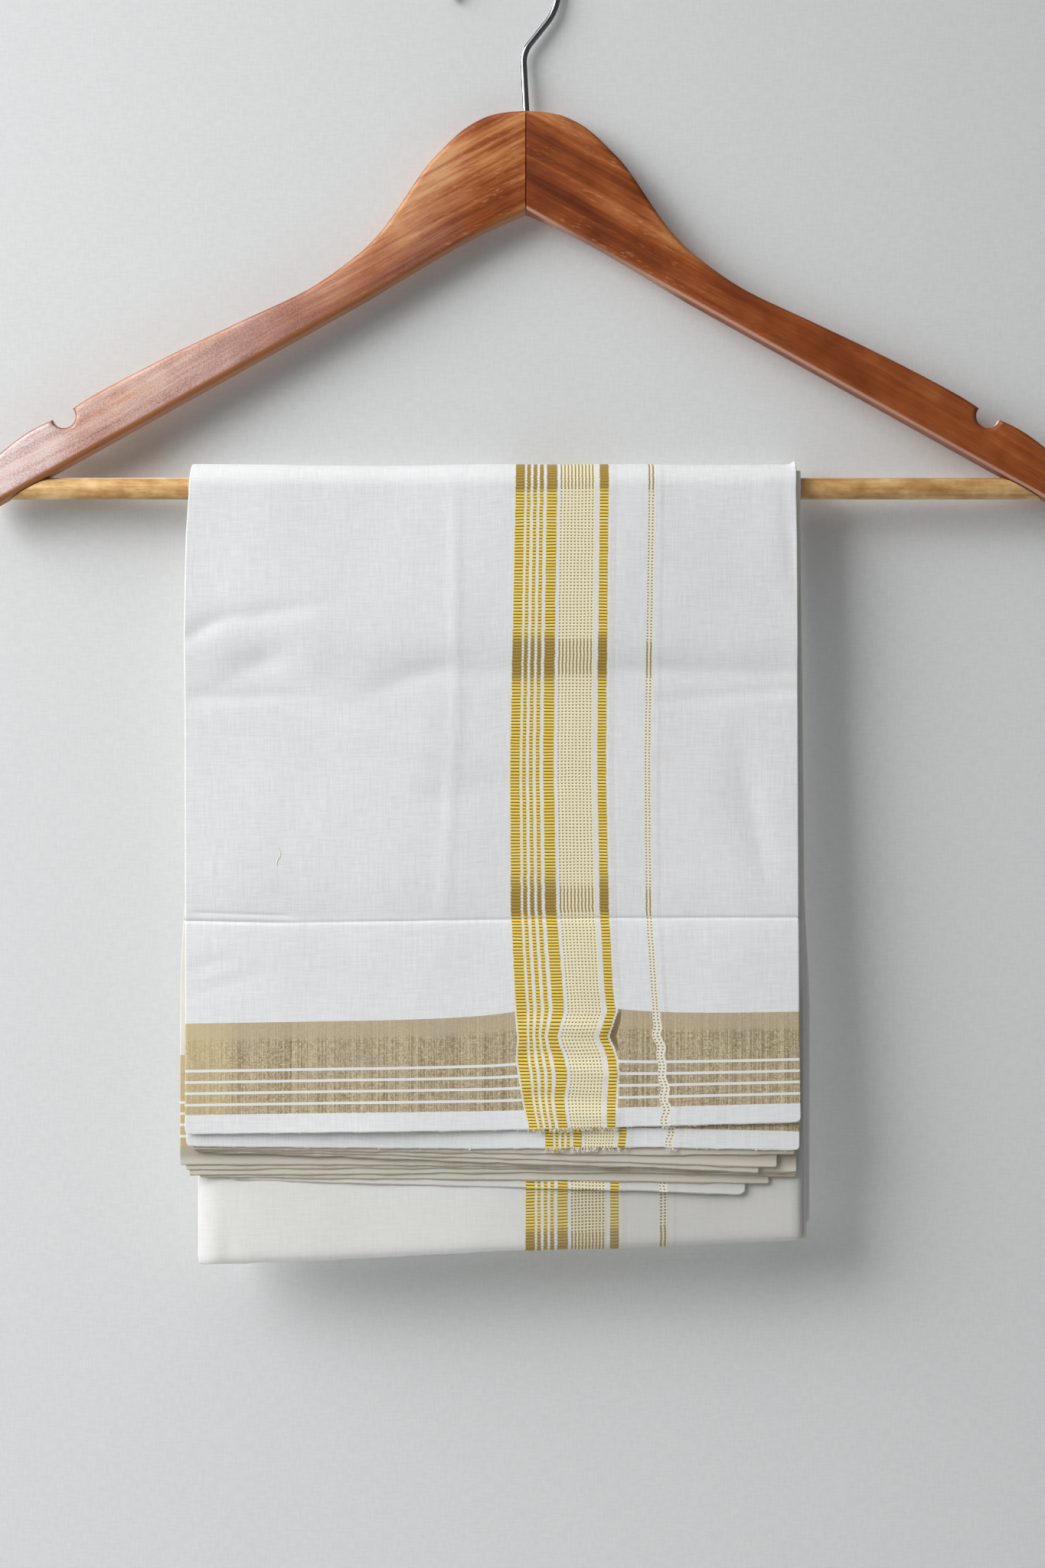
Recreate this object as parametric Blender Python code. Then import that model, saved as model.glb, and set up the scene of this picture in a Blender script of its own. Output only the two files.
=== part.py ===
"""A dhoti, folded into a long packet and hung over the trouser bar of a wooden hanger.

Sizes are in millimetres. +Z is up, +X is the viewer's right, and the viewer looks along +Y.
The origin is the inside top of the hook's bend, where a rail carries the hanger.
"""
import math
from collections import namedtuple

import bmesh
import bpy
from mathutils import Vector

# Driving dimensions
MM = 0.001
SEAM_GAP = 0.3

HOOK_WIRE_RADIUS = 1.4
HOOK_LOOP_RADIUS = 21.4
HOOK_TIP_ANGLE = 186.0
HOOK_LEAN_ANGLE = 38.6
HOOK_STRAIGHT = 10.9
HOOK_ELBOW_RADIUS = 11.5
HOOK_SHANK_DEPTH = 24.0

ARM_THICKNESS = 10.5
ARM_EDGE_ROUNDING = 2.2
JOINT_X = 8.4
NOTCH_RADIUS = 4.8
NOTCH_OUT = 188.0
NOTCH_HEIGHT = -194.1

BAR_RADIUS = 4.4
BAR_HEIGHT = -223.3
BAR_SIDES = 24

CLOTH_WALL = 1.0
LAYER_STEP = CLOTH_WALL + SEAM_GAP
PACKET_OVER_BAR = 2.5
BEND_STEPS = 10
RIM_BULGE = 0.3
SECOND_LAYER_TOP = 20.0
INNER_PANEL_TOP = 20.0
LEAVES_TOP = 231.0
HEM_STRETCH_FROM = 217.0
LEAF_EDGE = 0.05
LEAF_END = 0.1
BOTTOM_FOLD_RADIUS = 1.2
TUCKED_EDGE_GAP = 2.0 * SEAM_GAP + RIM_BULGE

# The upper edge of an arm, from the middle joint out to the strap notch
EdgePoint = namedtuple("EdgePoint", "out height")
ARM_TOP = (
    EdgePoint(0.0, -69.9),
    EdgePoint(9.6, -70.7),
    EdgePoint(17.4, -72.9),
    EdgePoint(25.8, -77.8),
    EdgePoint(33.9, -85.3),
    EdgePoint(41.7, -94.0),
    EdgePoint(54.1, -112.4),
    EdgePoint(61.0, -121.1),
    EdgePoint(69.0, -128.8),
    EdgePoint(88.6, -142.5),
    EdgePoint(117.3, -156.1),
    EdgePoint(145.9, -169.8),
    EdgePoint(173.5, -184.2),
    EdgePoint(184.3, -190.9),
)
# The rounded nose of an arm, from the outer lip of the notch round to the lower edge
ARM_NOSE = (
    EdgePoint(192.6, -195.6),
    EdgePoint(199.4, -198.8),
    EdgePoint(205.9, -202.9),
    EdgePoint(213.7, -209.1),
    EdgePoint(218.6, -214.4),
    EdgePoint(222.1, -220.6),
    EdgePoint(223.0, -226.4),
    EdgePoint(220.8, -231.2),
    EdgePoint(215.6, -230.4),
)
# The lower edge, from the straight stretch that meets the bar back to the middle joint
ARM_LOWER = (
    EdgePoint(65.3, -146.7),
    EdgePoint(37.3, -129.8),
    EdgePoint(18.7, -119.5),
    EdgePoint(0.0, -111.0),
)
ARM_LOWER_SLOPE = -0.5566

# The front half of the packet, a row for each crease or bulge: how far below the bar it is, how far
# its inner face stands from the bar's middle plane, and how thick the hidden layers are there.
# The packet closes in under the bar, has a sharp crease at 175 and fans out towards its hem.
Section = namedtuple("Section", "drop inner_depth hidden")
FRONT_SECTIONS = (
    Section(0.0, 4.7, 2.5),
    Section(20.0, 4.7, 2.5),
    Section(30.0, 4.6, 2.5),
    Section(46.0, 4.5, 2.5),
    Section(60.0, 4.2, 2.5),
    Section(66.0, 3.8, 2.5),
    Section(73.0, 3.0, 2.5),
    Section(80.0, 2.4, 2.5),
    Section(90.0, 2.0, 2.5),
    Section(110.0, 1.6, 2.5),
    Section(135.0, 1.4, 2.5),
    Section(160.0, 1.2, 2.5),
    Section(170.0, 0.8, 2.4),
    Section(175.0, 0.4, 2.3),
    Section(179.0, 0.8, 2.5),
    Section(188.0, 1.0, 2.7),
    Section(202.0, 0.9, 2.9),
    Section(217.0, 0.9, 3.2),
    Section(231.0, 0.9, 3.7),
    Section(246.0, 0.9, 4.4),
    Section(262.0, 0.9, 5.0),
    Section(268.0, 0.9, 5.0),
    Section(290.0, 0.9, 5.0),
)
BACK_SECTIONS = (
    Section(0.0, 4.7, 2.5),
    Section(20.0, 4.7, 2.5),
    Section(40.0, 4.4, 2.5),
    Section(60.0, 3.7, 2.5),
    Section(80.0, 2.8, 2.5),
    Section(105.0, 2.0, 2.5),
    Section(140.0, 1.5, 2.5),
    Section(190.0, 1.2, 2.5),
    Section(240.0, 1.0, 2.5),
    Section(280.0, 0.9, 2.5),
    Section(320.0, 0.9, 2.5),
)

# The side edges of each layer, a row for each place where an edge turns
Side = namedtuple("Side", "drop left right")
OUTER_FRONT_SIDES = (
    Side(0.0, -127.6, 117.6),
    Side(20.0, -129.0, 118.0),
    Side(60.0, -129.9, 118.4),
    Side(217.0, -129.6, 119.2),
    Side(265.0, -129.6, 119.8),
)
OUTER_BACK_SIDES = (
    Side(0.0, -126.4, 118.8),
    Side(60.0, -125.6, 121.4),
    Side(165.0, -125.0, 122.4),
    Side(207.0, -124.6, 124.6),
    Side(320.0, -124.6, 124.6),
)
SECOND_SIDES = (
    Side(0.0, -128.2, 117.2),
    Side(158.0, -128.9, 118.0),
    Side(190.0, -131.6, 118.4),
    Side(206.0, -132.5, 118.6),
    Side(270.0, -132.5, 120.2),
)
HIDDEN_SIDES = (
    Side(0.0, -125.6, 120.6),
    Side(80.0, -126.0, 121.2),
    Side(320.0, -126.0, 121.4),
)
INNER_SIDES = (
    Side(0.0, -125.0, 120.0),
    Side(150.0, -125.2, 121.6),
    Side(320.0, -125.6, 121.8),
)

# Hems and bottom folds: how far each lies below the bar at five places across the packet
HEM_PLACES = (-130.0, -68.0, -5.0, 57.0, 120.0)
Hem = namedtuple("Hem", "far_left left middle right far_right")
OUTER_HEM = Hem(262.2, 261.3, 260.7, 259.0, 257.4)
SECOND_HEM = Hem(267.3, 267.9, 268.4, 267.6, 269.0)
OUTER_BOTTOM = Hem(309.4, 307.0, 304.6, 302.4, 300.4)
HIDDEN_BOTTOM = Hem(313.4, 311.0, 308.4, 306.4, 304.0)
INNER_BOTTOM = Hem(316.9, 314.6, 311.2, 309.6, 306.6)

# The selvedge leaves of the hidden layers at the front hem, front to back: how far each stands out
# from the inner face, where its two ends are, and its lower edge at the five places
Leaf = namedtuple("Leaf", "thickness left_end right_end hem")
LEAVES = (
    Leaf(5.0, -126.9, 117.4, Hem(268.7, 269.5, 270.4, 271.1, 270.7)),
    Leaf(4.5, -126.4, 110.3, Hem(269.3, 270.6, 272.5, 274.4, 276.6)),
    Leaf(4.0, -125.4, 102.9, Hem(269.9, 271.8, 274.5, 276.2, 279.2)),
    Leaf(2.8, -132.2, 118.5, Hem(275.3, 275.3, 276.1, 277.1, 278.4)),
    Leaf(2.3, -129.9, 118.3, Hem(277.5, 276.8, 277.0, 277.9, 279.2)),
    Leaf(1.9, -128.6, 118.1, Hem(279.6, 279.4, 278.7, 278.7, 280.2)),
    Leaf(1.4, -124.4, 107.2, Hem(280.5, 281.1, 281.6, 282.3, 283.5)),
    Leaf(0.9, -102.0, 97.7, Hem(281.7, 283.0, 284.6, 286.2, 288.8)),
)

# The folded side of the hidden layers: how deep in the stack, as a share, and how far it stands out
SideFold = namedtuple("SideFold", "share out")
SIDE_FOLDS = (
    SideFold(0.00, -0.7),
    SideFold(0.12, 0.0),
    SideFold(0.34, 0.0),
    SideFold(0.42, -0.9),
    SideFold(0.50, 0.3),
    SideFold(0.74, 0.3),
    SideFold(0.84, -0.7),
    SideFold(1.00, -1.1),
)

COTTON = ("dhoti_cotton", (0.86, 0.87, 0.87), 0.85, 0.0)
ARM_WOOD = ("hanger_wood", (0.36, 0.14, 0.05), 0.40, 0.0)
BAR_WOOD = ("bar_wood", (0.62, 0.36, 0.13), 0.45, 0.0)
STEEL = ("hook_steel", (0.62, 0.63, 0.65), 0.12, 1.0)


def clear_scene():
    """Remove whatever the scene holds at the start."""
    for item in list(bpy.data.objects):
        bpy.data.objects.remove(item, do_unlink=True)


def make_material(name, color, roughness, metallic):
    """A Principled material of one colour."""
    material = bpy.data.materials.new(name)
    material.use_nodes = True
    shader = material.node_tree.nodes["Principled BSDF"]
    shader.inputs["Base Color"].default_value = (*color, 1.0)
    shader.inputs["Roughness"].default_value = roughness
    shader.inputs["Metallic"].default_value = metallic
    return material


def add_object(name, bm, material, sharp_degrees=35.0):
    """Turn a bmesh in millimetres into an object in metres, with its faces pointing out."""
    bmesh.ops.recalc_face_normals(bm, faces=bm.faces)
    bmesh.ops.scale(bm, vec=Vector((MM, MM, MM)), verts=bm.verts)
    mesh = bpy.data.meshes.new(name)
    bm.to_mesh(mesh)
    bm.free()
    mesh.shade_smooth()
    mesh.set_sharp_from_angle(angle=math.radians(sharp_degrees))
    mesh.materials.append(material)
    item = bpy.data.objects.new(name, mesh)
    bpy.context.scene.collection.objects.link(item)
    return item


def lerp(start, end, share):
    return start + (end - start) * share


def read_table(rows, key, column, place):
    """Value of one column at a place between two rows, held level past the ends."""
    before = rows[0]
    for after in rows:
        if getattr(after, key) >= place:
            gap = getattr(after, key) - getattr(before, key)
            share = (place - getattr(before, key)) / gap if gap > 0.0 else 0.0
            return lerp(getattr(before, column), getattr(after, column), max(0.0, share))
        before = after
    return getattr(before, column)


def hem_at(hem, x):
    """How far below the bar a hem lies at x, straight between its five places."""
    if x <= HEM_PLACES[0]:
        return hem[0]
    for index in range(1, len(HEM_PLACES)):
        if x <= HEM_PLACES[index]:
            span = HEM_PLACES[index] - HEM_PLACES[index - 1]
            share = (x - HEM_PLACES[index - 1]) / span
            return lerp(hem[index - 1], hem[index], share)
    return hem[-1]


def smooth_curve(points, pieces):
    """Points on a smooth curve through the given ones, with so many pieces between each two."""
    curve = []
    last = len(points) - 1
    for index in range(last):
        before = points[max(index - 1, 0)]
        start = points[index]
        end = points[index + 1]
        after = points[min(index + 2, last)]
        for piece in range(pieces):
            u = piece / pieces
            curve.append(tuple(
                0.5 * (2.0 * b + (c - a) * u + (2.0 * a - 5.0 * b + 4.0 * c - d) * u * u
                       + (3.0 * b - a - 3.0 * c + d) * u ** 3)
                for a, b, c, d in zip(before, start, end, after)
            ))
    curve.append(tuple(points[last]))
    return curve


def arc_points(center, radius, start_degrees, end_degrees, steps):
    """Points along an arc in the plane of the hanger."""
    points = []
    for step in range(steps + 1):
        angle = math.radians(lerp(start_degrees, end_degrees, step / steps))
        points.append((center[0] + radius * math.cos(angle), center[1] + radius * math.sin(angle)))
    return points


# Hook


def hook_route():
    """The wire's centre line, from its tip over the loop and down into the wood."""
    loop_center = (0.0, HOOK_WIRE_RADIUS - HOOK_LOOP_RADIUS)
    route = arc_points(loop_center, HOOK_LOOP_RADIUS, HOOK_TIP_ANGLE, -HOOK_LEAN_ANGLE, 30)
    lean = math.radians(HOOK_LEAN_ANGLE)
    loop_end = route[-1]
    elbow_start = (
        loop_end[0] - HOOK_STRAIGHT * math.sin(lean),
        loop_end[1] - HOOK_STRAIGHT * math.cos(lean),
    )
    elbow_center = (
        elbow_start[0] + HOOK_ELBOW_RADIUS * math.cos(lean),
        elbow_start[1] - HOOK_ELBOW_RADIUS * math.sin(lean),
    )
    route += arc_points(elbow_center, HOOK_ELBOW_RADIUS, 180.0 - HOOK_LEAN_ANGLE, 183.0, 8)
    wood_top = ARM_TOP[0].height
    route.append((JOINT_X, wood_top + 1.0))
    route.append((JOINT_X, wood_top - HOOK_SHANK_DEPTH))
    return route


def build_hook(material):
    """Bent steel wire with a round section."""
    route = hook_route()
    curve = bpy.data.curves.new("hook", "CURVE")
    curve.dimensions = "3D"
    curve.bevel_depth = HOOK_WIRE_RADIUS * MM
    curve.bevel_resolution = 3
    curve.use_fill_caps = True
    spline = curve.splines.new("POLY")
    spline.points.add(len(route) - 1)
    for point, place in zip(spline.points, route):
        point.co = (place[0] * MM, 0.0, place[1] * MM, 1.0)
    curve.materials.append(material)
    item = bpy.data.objects.new("hook", curve)
    bpy.context.scene.collection.objects.link(item)
    return item


def build_shank_cutter():
    """Round hole for the hook's shank, half in each arm."""
    bm = bmesh.new()
    length = HOOK_SHANK_DEPTH + 6.0
    bmesh.ops.create_cone(
        bm,
        cap_ends=True,
        segments=12,
        radius1=HOOK_WIRE_RADIUS + SEAM_GAP,
        radius2=HOOK_WIRE_RADIUS + SEAM_GAP,
        depth=length,
    )
    middle = ARM_TOP[0].height + 5.0 - length / 2.0 + SEAM_GAP
    bmesh.ops.translate(bm, vec=Vector((JOINT_X, 0.0, middle)), verts=bm.verts)
    cutter = add_object("shank_hole", bm, bpy.data.materials["hook_steel"])
    cutter.hide_render = True
    cutter.display_type = "WIRE"
    return cutter


# Wooden arms and bar


def arm_outline():
    """Outline of one arm: out along the top, round the notch and the nose, and back underneath."""
    outline = smooth_curve(ARM_TOP, 3)
    outline += arc_points((NOTCH_OUT, NOTCH_HEIGHT), NOTCH_RADIUS, 142.0, 342.0, 14)[1:-1]
    outline += smooth_curve(ARM_NOSE, 2)
    outline += smooth_curve(ARM_LOWER, 2)
    return outline


def build_arm(name, side, material, cutter):
    """One wooden arm with rounded edges. side is 1 for the right arm and -1 for the left one."""
    bm = bmesh.new()
    joint_gap = SEAM_GAP / 2.0
    front = []
    for out, height in arm_outline():
        x = JOINT_X + side * (out + joint_gap)
        front.append(bm.verts.new((x, -ARM_THICKNESS / 2.0, height)))
    face = bm.faces.new(front)
    extruded = bmesh.ops.extrude_face_region(bm, geom=[face])
    back = [part for part in extruded["geom"] if isinstance(part, bmesh.types.BMVert)]
    bmesh.ops.translate(bm, vec=Vector((0.0, ARM_THICKNESS, 0.0)), verts=back)
    weights = bm.edges.layers.float.new("bevel_weight_edge")
    for edge in bm.edges:
        ends = [abs(vert.co.x - JOINT_X) for vert in edge.verts]
        across = abs(edge.verts[0].co.y - edge.verts[1].co.y) > 1.0
        at_joint = max(ends) < joint_gap + 0.01
        edge[weights] = 0.0 if across or at_joint else 1.0
    arm = add_object(name, bm, material)
    bevel = arm.modifiers.new("rounded_edges", "BEVEL")
    bevel.limit_method = "WEIGHT"
    bevel.width = ARM_EDGE_ROUNDING * MM
    bevel.segments = 3
    bevel.use_clamp_overlap = False
    hole = arm.modifiers.new("shank_hole", "BOOLEAN")
    hole.operation = "DIFFERENCE"
    hole.object = cutter
    return arm


def bar_end_plane(side):
    """A point and an outward normal of the bar's coped end, just under the arm's lower edge."""
    start = ARM_LOWER[0]
    slope_length = math.hypot(1.0, ARM_LOWER_SLOPE)
    normal = Vector((side * -ARM_LOWER_SLOPE / slope_length, 0.0, 1.0 / slope_length))
    on_arm = Vector((JOINT_X + side * (start.out + SEAM_GAP / 2.0), 0.0, start.height))
    return on_arm - normal * SEAM_GAP, normal


def build_bar(material):
    """Round dowel whose ends are cut to the slope of the arms."""
    bm = bmesh.new()
    length = 2.0 * ARM_NOSE[-1].out
    bmesh.ops.create_cone(
        bm,
        cap_ends=True,
        segments=BAR_SIDES,
        radius1=BAR_RADIUS,
        radius2=BAR_RADIUS,
        depth=length,
    )
    for vert in bm.verts:
        vert.co = Vector((vert.co.z + JOINT_X, vert.co.x, vert.co.y + BAR_HEIGHT))
    for side in (-1, 1):
        point, normal = bar_end_plane(side)
        everything = bm.verts[:] + bm.edges[:] + bm.faces[:]
        bmesh.ops.bisect_plane(
            bm, geom=everything, dist=1e-4, plane_co=point, plane_no=normal, clear_outer=True
        )
        open_edges = [edge for edge in bm.edges if edge.is_boundary]
        bmesh.ops.edgeloop_fill(bm, edges=open_edges)
    return add_object("trouser_bar", bm, material)


# Folded cloth


def front_point(x, drop, thickness):
    """A point of the front half, so far below the bar and so far out from the inner face."""
    inner = read_table(FRONT_SECTIONS, "drop", "inner_depth", drop)
    return Vector((x, -(inner + thickness), BAR_HEIGHT - drop))


def back_point(x, drop, thickness):
    """A point of the back half, measured in the same way."""
    inner = read_table(BACK_SECTIONS, "drop", "inner_depth", drop)
    return Vector((x, inner + thickness, BAR_HEIGHT - drop))


def bend_point(x, share, thickness):
    """A point of the bend over the bar, from the front at 0 to the back at 1."""
    radius = FRONT_SECTIONS[0].inner_depth + thickness
    angle = math.pi * share
    return Vector((x, -radius * math.cos(angle), BAR_HEIGHT + radius * math.sin(angle)))


def hidden_at(drop):
    """Thickness of the hidden layers of the front half."""
    return read_table(FRONT_SECTIONS, "drop", "hidden", drop)


def outer_start(drop):
    """How far the outer layer's inner side stands out from the packet's inner face."""
    return hidden_at(drop) + SEAM_GAP + LAYER_STEP


def stretched(drop, nominal, real):
    """A station slid down or up so that the last one lands on a slanted hem."""
    if drop <= HEM_STRETCH_FROM:
        return drop
    share = (drop - HEM_STRETCH_FROM) / (nominal - HEM_STRETCH_FROM)
    return lerp(HEM_STRETCH_FROM, real, share)


def front_drops(start, end):
    """The drops of the front sections between two limits, both limits included."""
    middle = [row.drop for row in FRONT_SECTIONS if start + 0.5 < row.drop < end - 0.5]
    return [start] + middle + [end]


def back_drops(start, end):
    """The drops of the back sections between two limits, both limits included."""
    middle = [row.drop for row in BACK_SECTIONS if start + 0.5 < row.drop < end - 0.5]
    return [start] + middle + [end]


def side_place(rows, drop, share):
    """x at a share of the way from a layer's left edge to its right edge."""
    left = read_table(rows, "drop", "left", drop)
    right = read_table(rows, "drop", "right", drop)
    return lerp(left, right, share)


def rim_point(outer, inner, direction):
    """Middle of a wall's rim, moved a little outwards to round it."""
    return (outer + inner) / 2.0 + direction * RIM_BULGE


def wall_from_grids(outer, inner):
    """A closed wall between two grids of points, with a rounded rim all round."""
    bm = bmesh.new()
    rows = len(outer)
    columns = len(outer[0])
    outer_verts = [[bm.verts.new(point) for point in row] for row in outer]
    inner_verts = [[bm.verts.new(point) for point in row] for row in inner]
    for row in range(rows - 1):
        for column in range(columns - 1):
            for grid in (outer_verts, inner_verts):
                bm.faces.new((
                    grid[row][column],
                    grid[row][column + 1],
                    grid[row + 1][column + 1],
                    grid[row + 1][column],
                ))
    border = [(0, column) for column in range(columns)]
    border += [(row, columns - 1) for row in range(1, rows)]
    border += [(rows - 1, column) for column in range(columns - 2, -1, -1)]
    border += [(row, 0) for row in range(rows - 2, 0, -1)]
    rim = []
    for row, column in border:
        direction = Vector((0.0, 0.0, 0.0))
        if column == 0:
            direction.x = -1.0
        if column == columns - 1:
            direction.x = 1.0
        if row == 0:
            direction += (outer[0][column] - outer[1][column]).normalized()
        if row == rows - 1:
            direction += (outer[-1][column] - outer[-2][column]).normalized()
        rim.append(bm.verts.new(rim_point(outer[row][column], inner[row][column], direction)))
    count = len(border)
    for index in range(count):
        following = (index + 1) % count
        row, column = border[index]
        next_row, next_column = border[following]
        bm.faces.new((
            outer_verts[row][column],
            outer_verts[next_row][next_column],
            rim[following],
            rim[index],
        ))
        bm.faces.new((
            rim[index],
            rim[following],
            inner_verts[next_row][next_column],
            inner_verts[row][column],
        ))
    return bm


COLUMN_SHARES = (0.0, 0.02, 0.25, 0.5, 0.75, 0.98, 1.0)


def build_outer_layer(material):
    """The outermost panel: up the front, over the bar and down the back."""
    outer = []
    inner = []
    nominal_hem = max(OUTER_HEM)
    nominal_bottom = max(OUTER_BOTTOM)
    for drop in reversed(front_drops(0.0, nominal_hem)):
        outer_row = []
        inner_row = []
        for share in COLUMN_SHARES:
            x = side_place(OUTER_FRONT_SIDES, drop, share)
            level = stretched(drop, nominal_hem, hem_at(OUTER_HEM, x))
            start = outer_start(level)
            outer_row.append(front_point(x, level, start + CLOTH_WALL))
            inner_row.append(front_point(x, level, start))
        outer.append(outer_row)
        inner.append(inner_row)
    for step in range(1, BEND_STEPS):
        turn = step / BEND_STEPS
        outer_row = []
        inner_row = []
        for share in COLUMN_SHARES:
            front_x = side_place(OUTER_FRONT_SIDES, 0.0, share)
            back_x = side_place(OUTER_BACK_SIDES, 0.0, share)
            x = lerp(front_x, back_x, turn)
            outer_row.append(bend_point(x, turn, outer_start(0.0) + CLOTH_WALL))
            inner_row.append(bend_point(x, turn, outer_start(0.0)))
        outer.append(outer_row)
        inner.append(inner_row)
    for drop in back_drops(0.0, nominal_bottom):
        outer_row = []
        inner_row = []
        for share in COLUMN_SHARES:
            x = side_place(OUTER_BACK_SIDES, drop, share)
            level = stretched(drop, nominal_bottom, hem_at(OUTER_BOTTOM, x))
            outer_row.append(back_point(x, level, outer_start(0.0) + CLOTH_WALL))
            inner_row.append(back_point(x, level, outer_start(0.0)))
        outer.append(outer_row)
        inner.append(inner_row)
    return add_object("outer_layer", wall_from_grids(outer, inner), material, 50.0)


def build_second_layer(material):
    """The next panel of the front half, from under the outer one near the bar to its own hem."""
    outer = []
    inner = []
    nominal_hem = max(SECOND_HEM)
    for drop in front_drops(SECOND_LAYER_TOP + TUCKED_EDGE_GAP, nominal_hem):
        outer_row = []
        inner_row = []
        for share in COLUMN_SHARES:
            x = side_place(SECOND_SIDES, drop, share)
            level = stretched(drop, nominal_hem, hem_at(SECOND_HEM, x))
            start = hidden_at(level) + SEAM_GAP
            outer_row.append(front_point(x, level, start + CLOTH_WALL))
            inner_row.append(front_point(x, level, start))
        outer.append(outer_row)
        inner.append(inner_row)
    return add_object("second_layer", wall_from_grids(outer, inner), material, 50.0)


def build_inner_panel(material):
    """The innermost panel of the back half, down to the fold across the cloth's width."""
    outer = []
    inner = []
    nominal_bottom = max(INNER_BOTTOM)
    for drop in back_drops(INNER_PANEL_TOP + TUCKED_EDGE_GAP, nominal_bottom):
        outer_row = []
        inner_row = []
        for share in COLUMN_SHARES:
            x = side_place(INNER_SIDES, drop, share)
            level = stretched(drop, nominal_bottom, hem_at(INNER_BOTTOM, x))
            outer_row.append(back_point(x, level, CLOTH_WALL))
            inner_row.append(back_point(x, level, 0.0))
        outer.append(outer_row)
        inner.append(inner_row)
    return add_object("inner_panel", wall_from_grids(outer, inner), material, 50.0)


def hidden_ring(place, left, right, inside, outside):
    """Points round one section of the hidden layers, with the folds of both sides.

    place turns an x and a thickness into a point, and inside and outside bound the stack.
    """
    ring = []
    for fold in SIDE_FOLDS:
        ring.append(place(right + fold.out, lerp(inside, outside, fold.share)))
    for share in (0.67, 0.33):
        ring.append(place(lerp(left, right, share), outside))
    for fold in reversed(SIDE_FOLDS):
        ring.append(place(left - fold.out, lerp(inside, outside, fold.share)))
    for share in (0.33, 0.67):
        ring.append(place(lerp(left, right, share), inside))
    return ring


def front_ring(drop, inside, outside):
    """A ring of the hidden layers on the front half."""
    left = read_table(HIDDEN_SIDES, "drop", "left", drop)
    right = read_table(HIDDEN_SIDES, "drop", "right", drop)
    return hidden_ring(lambda x, t: front_point(x, drop, t), left, right, inside, outside)


def back_ring(drop, inside, outside, nominal):
    """A ring of the hidden layers on the back half, slanted towards the bottom folds."""
    left = read_table(HIDDEN_SIDES, "drop", "left", drop)
    right = read_table(HIDDEN_SIDES, "drop", "right", drop)

    def place(x, thickness):
        level = stretched(drop, nominal, hem_at(HIDDEN_BOTTOM, x))
        return back_point(x, level, thickness)

    return hidden_ring(place, left, right, inside, outside)


def build_hidden_layers(material):
    """The hidden layers as one rounded solid over the bar, its sides grooved like their folds."""
    rings = []
    full = PACKET_OVER_BAR + LAYER_STEP
    for drop in reversed(front_drops(SECOND_LAYER_TOP + SEAM_GAP, LEAVES_TOP)):
        rings.append(front_ring(drop, 0.0, hidden_at(drop)))
    for drop in (SECOND_LAYER_TOP, 0.0):
        rings.append(front_ring(drop, 0.0, full))
    sides = HIDDEN_SIDES[0]
    for step in range(1, BEND_STEPS):
        turn = step / BEND_STEPS
        rings.append(hidden_ring(
            lambda x, t: bend_point(x, turn, t), sides.left, sides.right, 0.0, full
        ))
    nominal = max(HIDDEN_BOTTOM)
    for drop in (0.0, INNER_PANEL_TOP):
        rings.append(back_ring(drop, 0.0, full, nominal))
    for drop in back_drops(INNER_PANEL_TOP + SEAM_GAP, nominal - BOTTOM_FOLD_RADIUS):
        rings.append(back_ring(drop, LAYER_STEP, full, nominal))
    rings.append(back_ring(
        nominal, LAYER_STEP + BOTTOM_FOLD_RADIUS * 0.6, full - BOTTOM_FOLD_RADIUS * 0.6, nominal
    ))
    bm = bmesh.new()
    verts = [[bm.verts.new(point) for point in ring] for ring in rings]
    count = len(verts[0])
    for lower, upper in zip(verts, verts[1:]):
        for index in range(count):
            following = (index + 1) % count
            bm.faces.new((lower[index], lower[following], upper[following], upper[index]))
    cap_ring(bm, verts[0])
    cap_ring(bm, verts[-1])
    return add_object("hidden_layers", bm, material, 50.0)


def cap_ring(bm, ring):
    """Close a ring with strips between its outer and inner halves, so that no face is long or thin."""
    count = len(ring)
    half = len(SIDE_FOLDS)
    outer_middle = ring[half:half + 2]
    inner_middle = ring[count - 2:]
    right_side = ring[:half]
    left_side = ring[half + 2:count - 2]
    bm.faces.new(right_side + [outer_middle[0], inner_middle[1]])
    bm.faces.new((outer_middle[0], outer_middle[1], inner_middle[0], inner_middle[1]))
    bm.faces.new([outer_middle[1]] + left_side + [inner_middle[0]])


# Selvedge leaves at the front hem


def leaf_exists(leaf, x):
    return leaf.left_end <= x <= leaf.right_end


def first_leaf(start, x):
    """The frontmost leaf at x from the given number on, or None."""
    for leaf in LEAVES[start:]:
        if leaf_exists(leaf, x):
            return leaf
    return None


def leaf_column(x):
    """Drop and thickness down the front of the leaves at x, stepping back below each lower edge."""
    front = first_leaf(0, x)
    top = LEAVES_TOP + SEAM_GAP
    column = []
    for drop in (top, 246.0):
        column.append((drop, min(hidden_at(drop), front.thickness)))
    level = 262.0
    thickness = front.thickness
    column.append((level, thickness))
    for number, leaf in enumerate(LEAVES):
        if leaf_exists(leaf, x):
            level = max(level + LEAF_EDGE, hem_at(leaf.hem, x))
        else:
            level += LEAF_EDGE
        column.append((level, thickness))
        behind = first_leaf(number + 1, x)
        if behind is not None:
            thickness = behind.thickness
        level += LEAF_EDGE
        column.append((level, thickness))
    return column


def leaf_columns():
    """Places across the hem: one at each leaf's end, one just past it, and a few between."""
    places = set(HEM_PLACES[1:-1])
    for leaf in LEAVES:
        places.add(leaf.left_end)
        places.add(leaf.left_end - LEAF_END)
        places.add(leaf.right_end)
        places.add(leaf.right_end + LEAF_END)
    leftmost = min(leaf.left_end for leaf in LEAVES)
    rightmost = max(leaf.right_end for leaf in LEAVES)
    return sorted(place for place in places if leftmost <= place <= rightmost)


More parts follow.
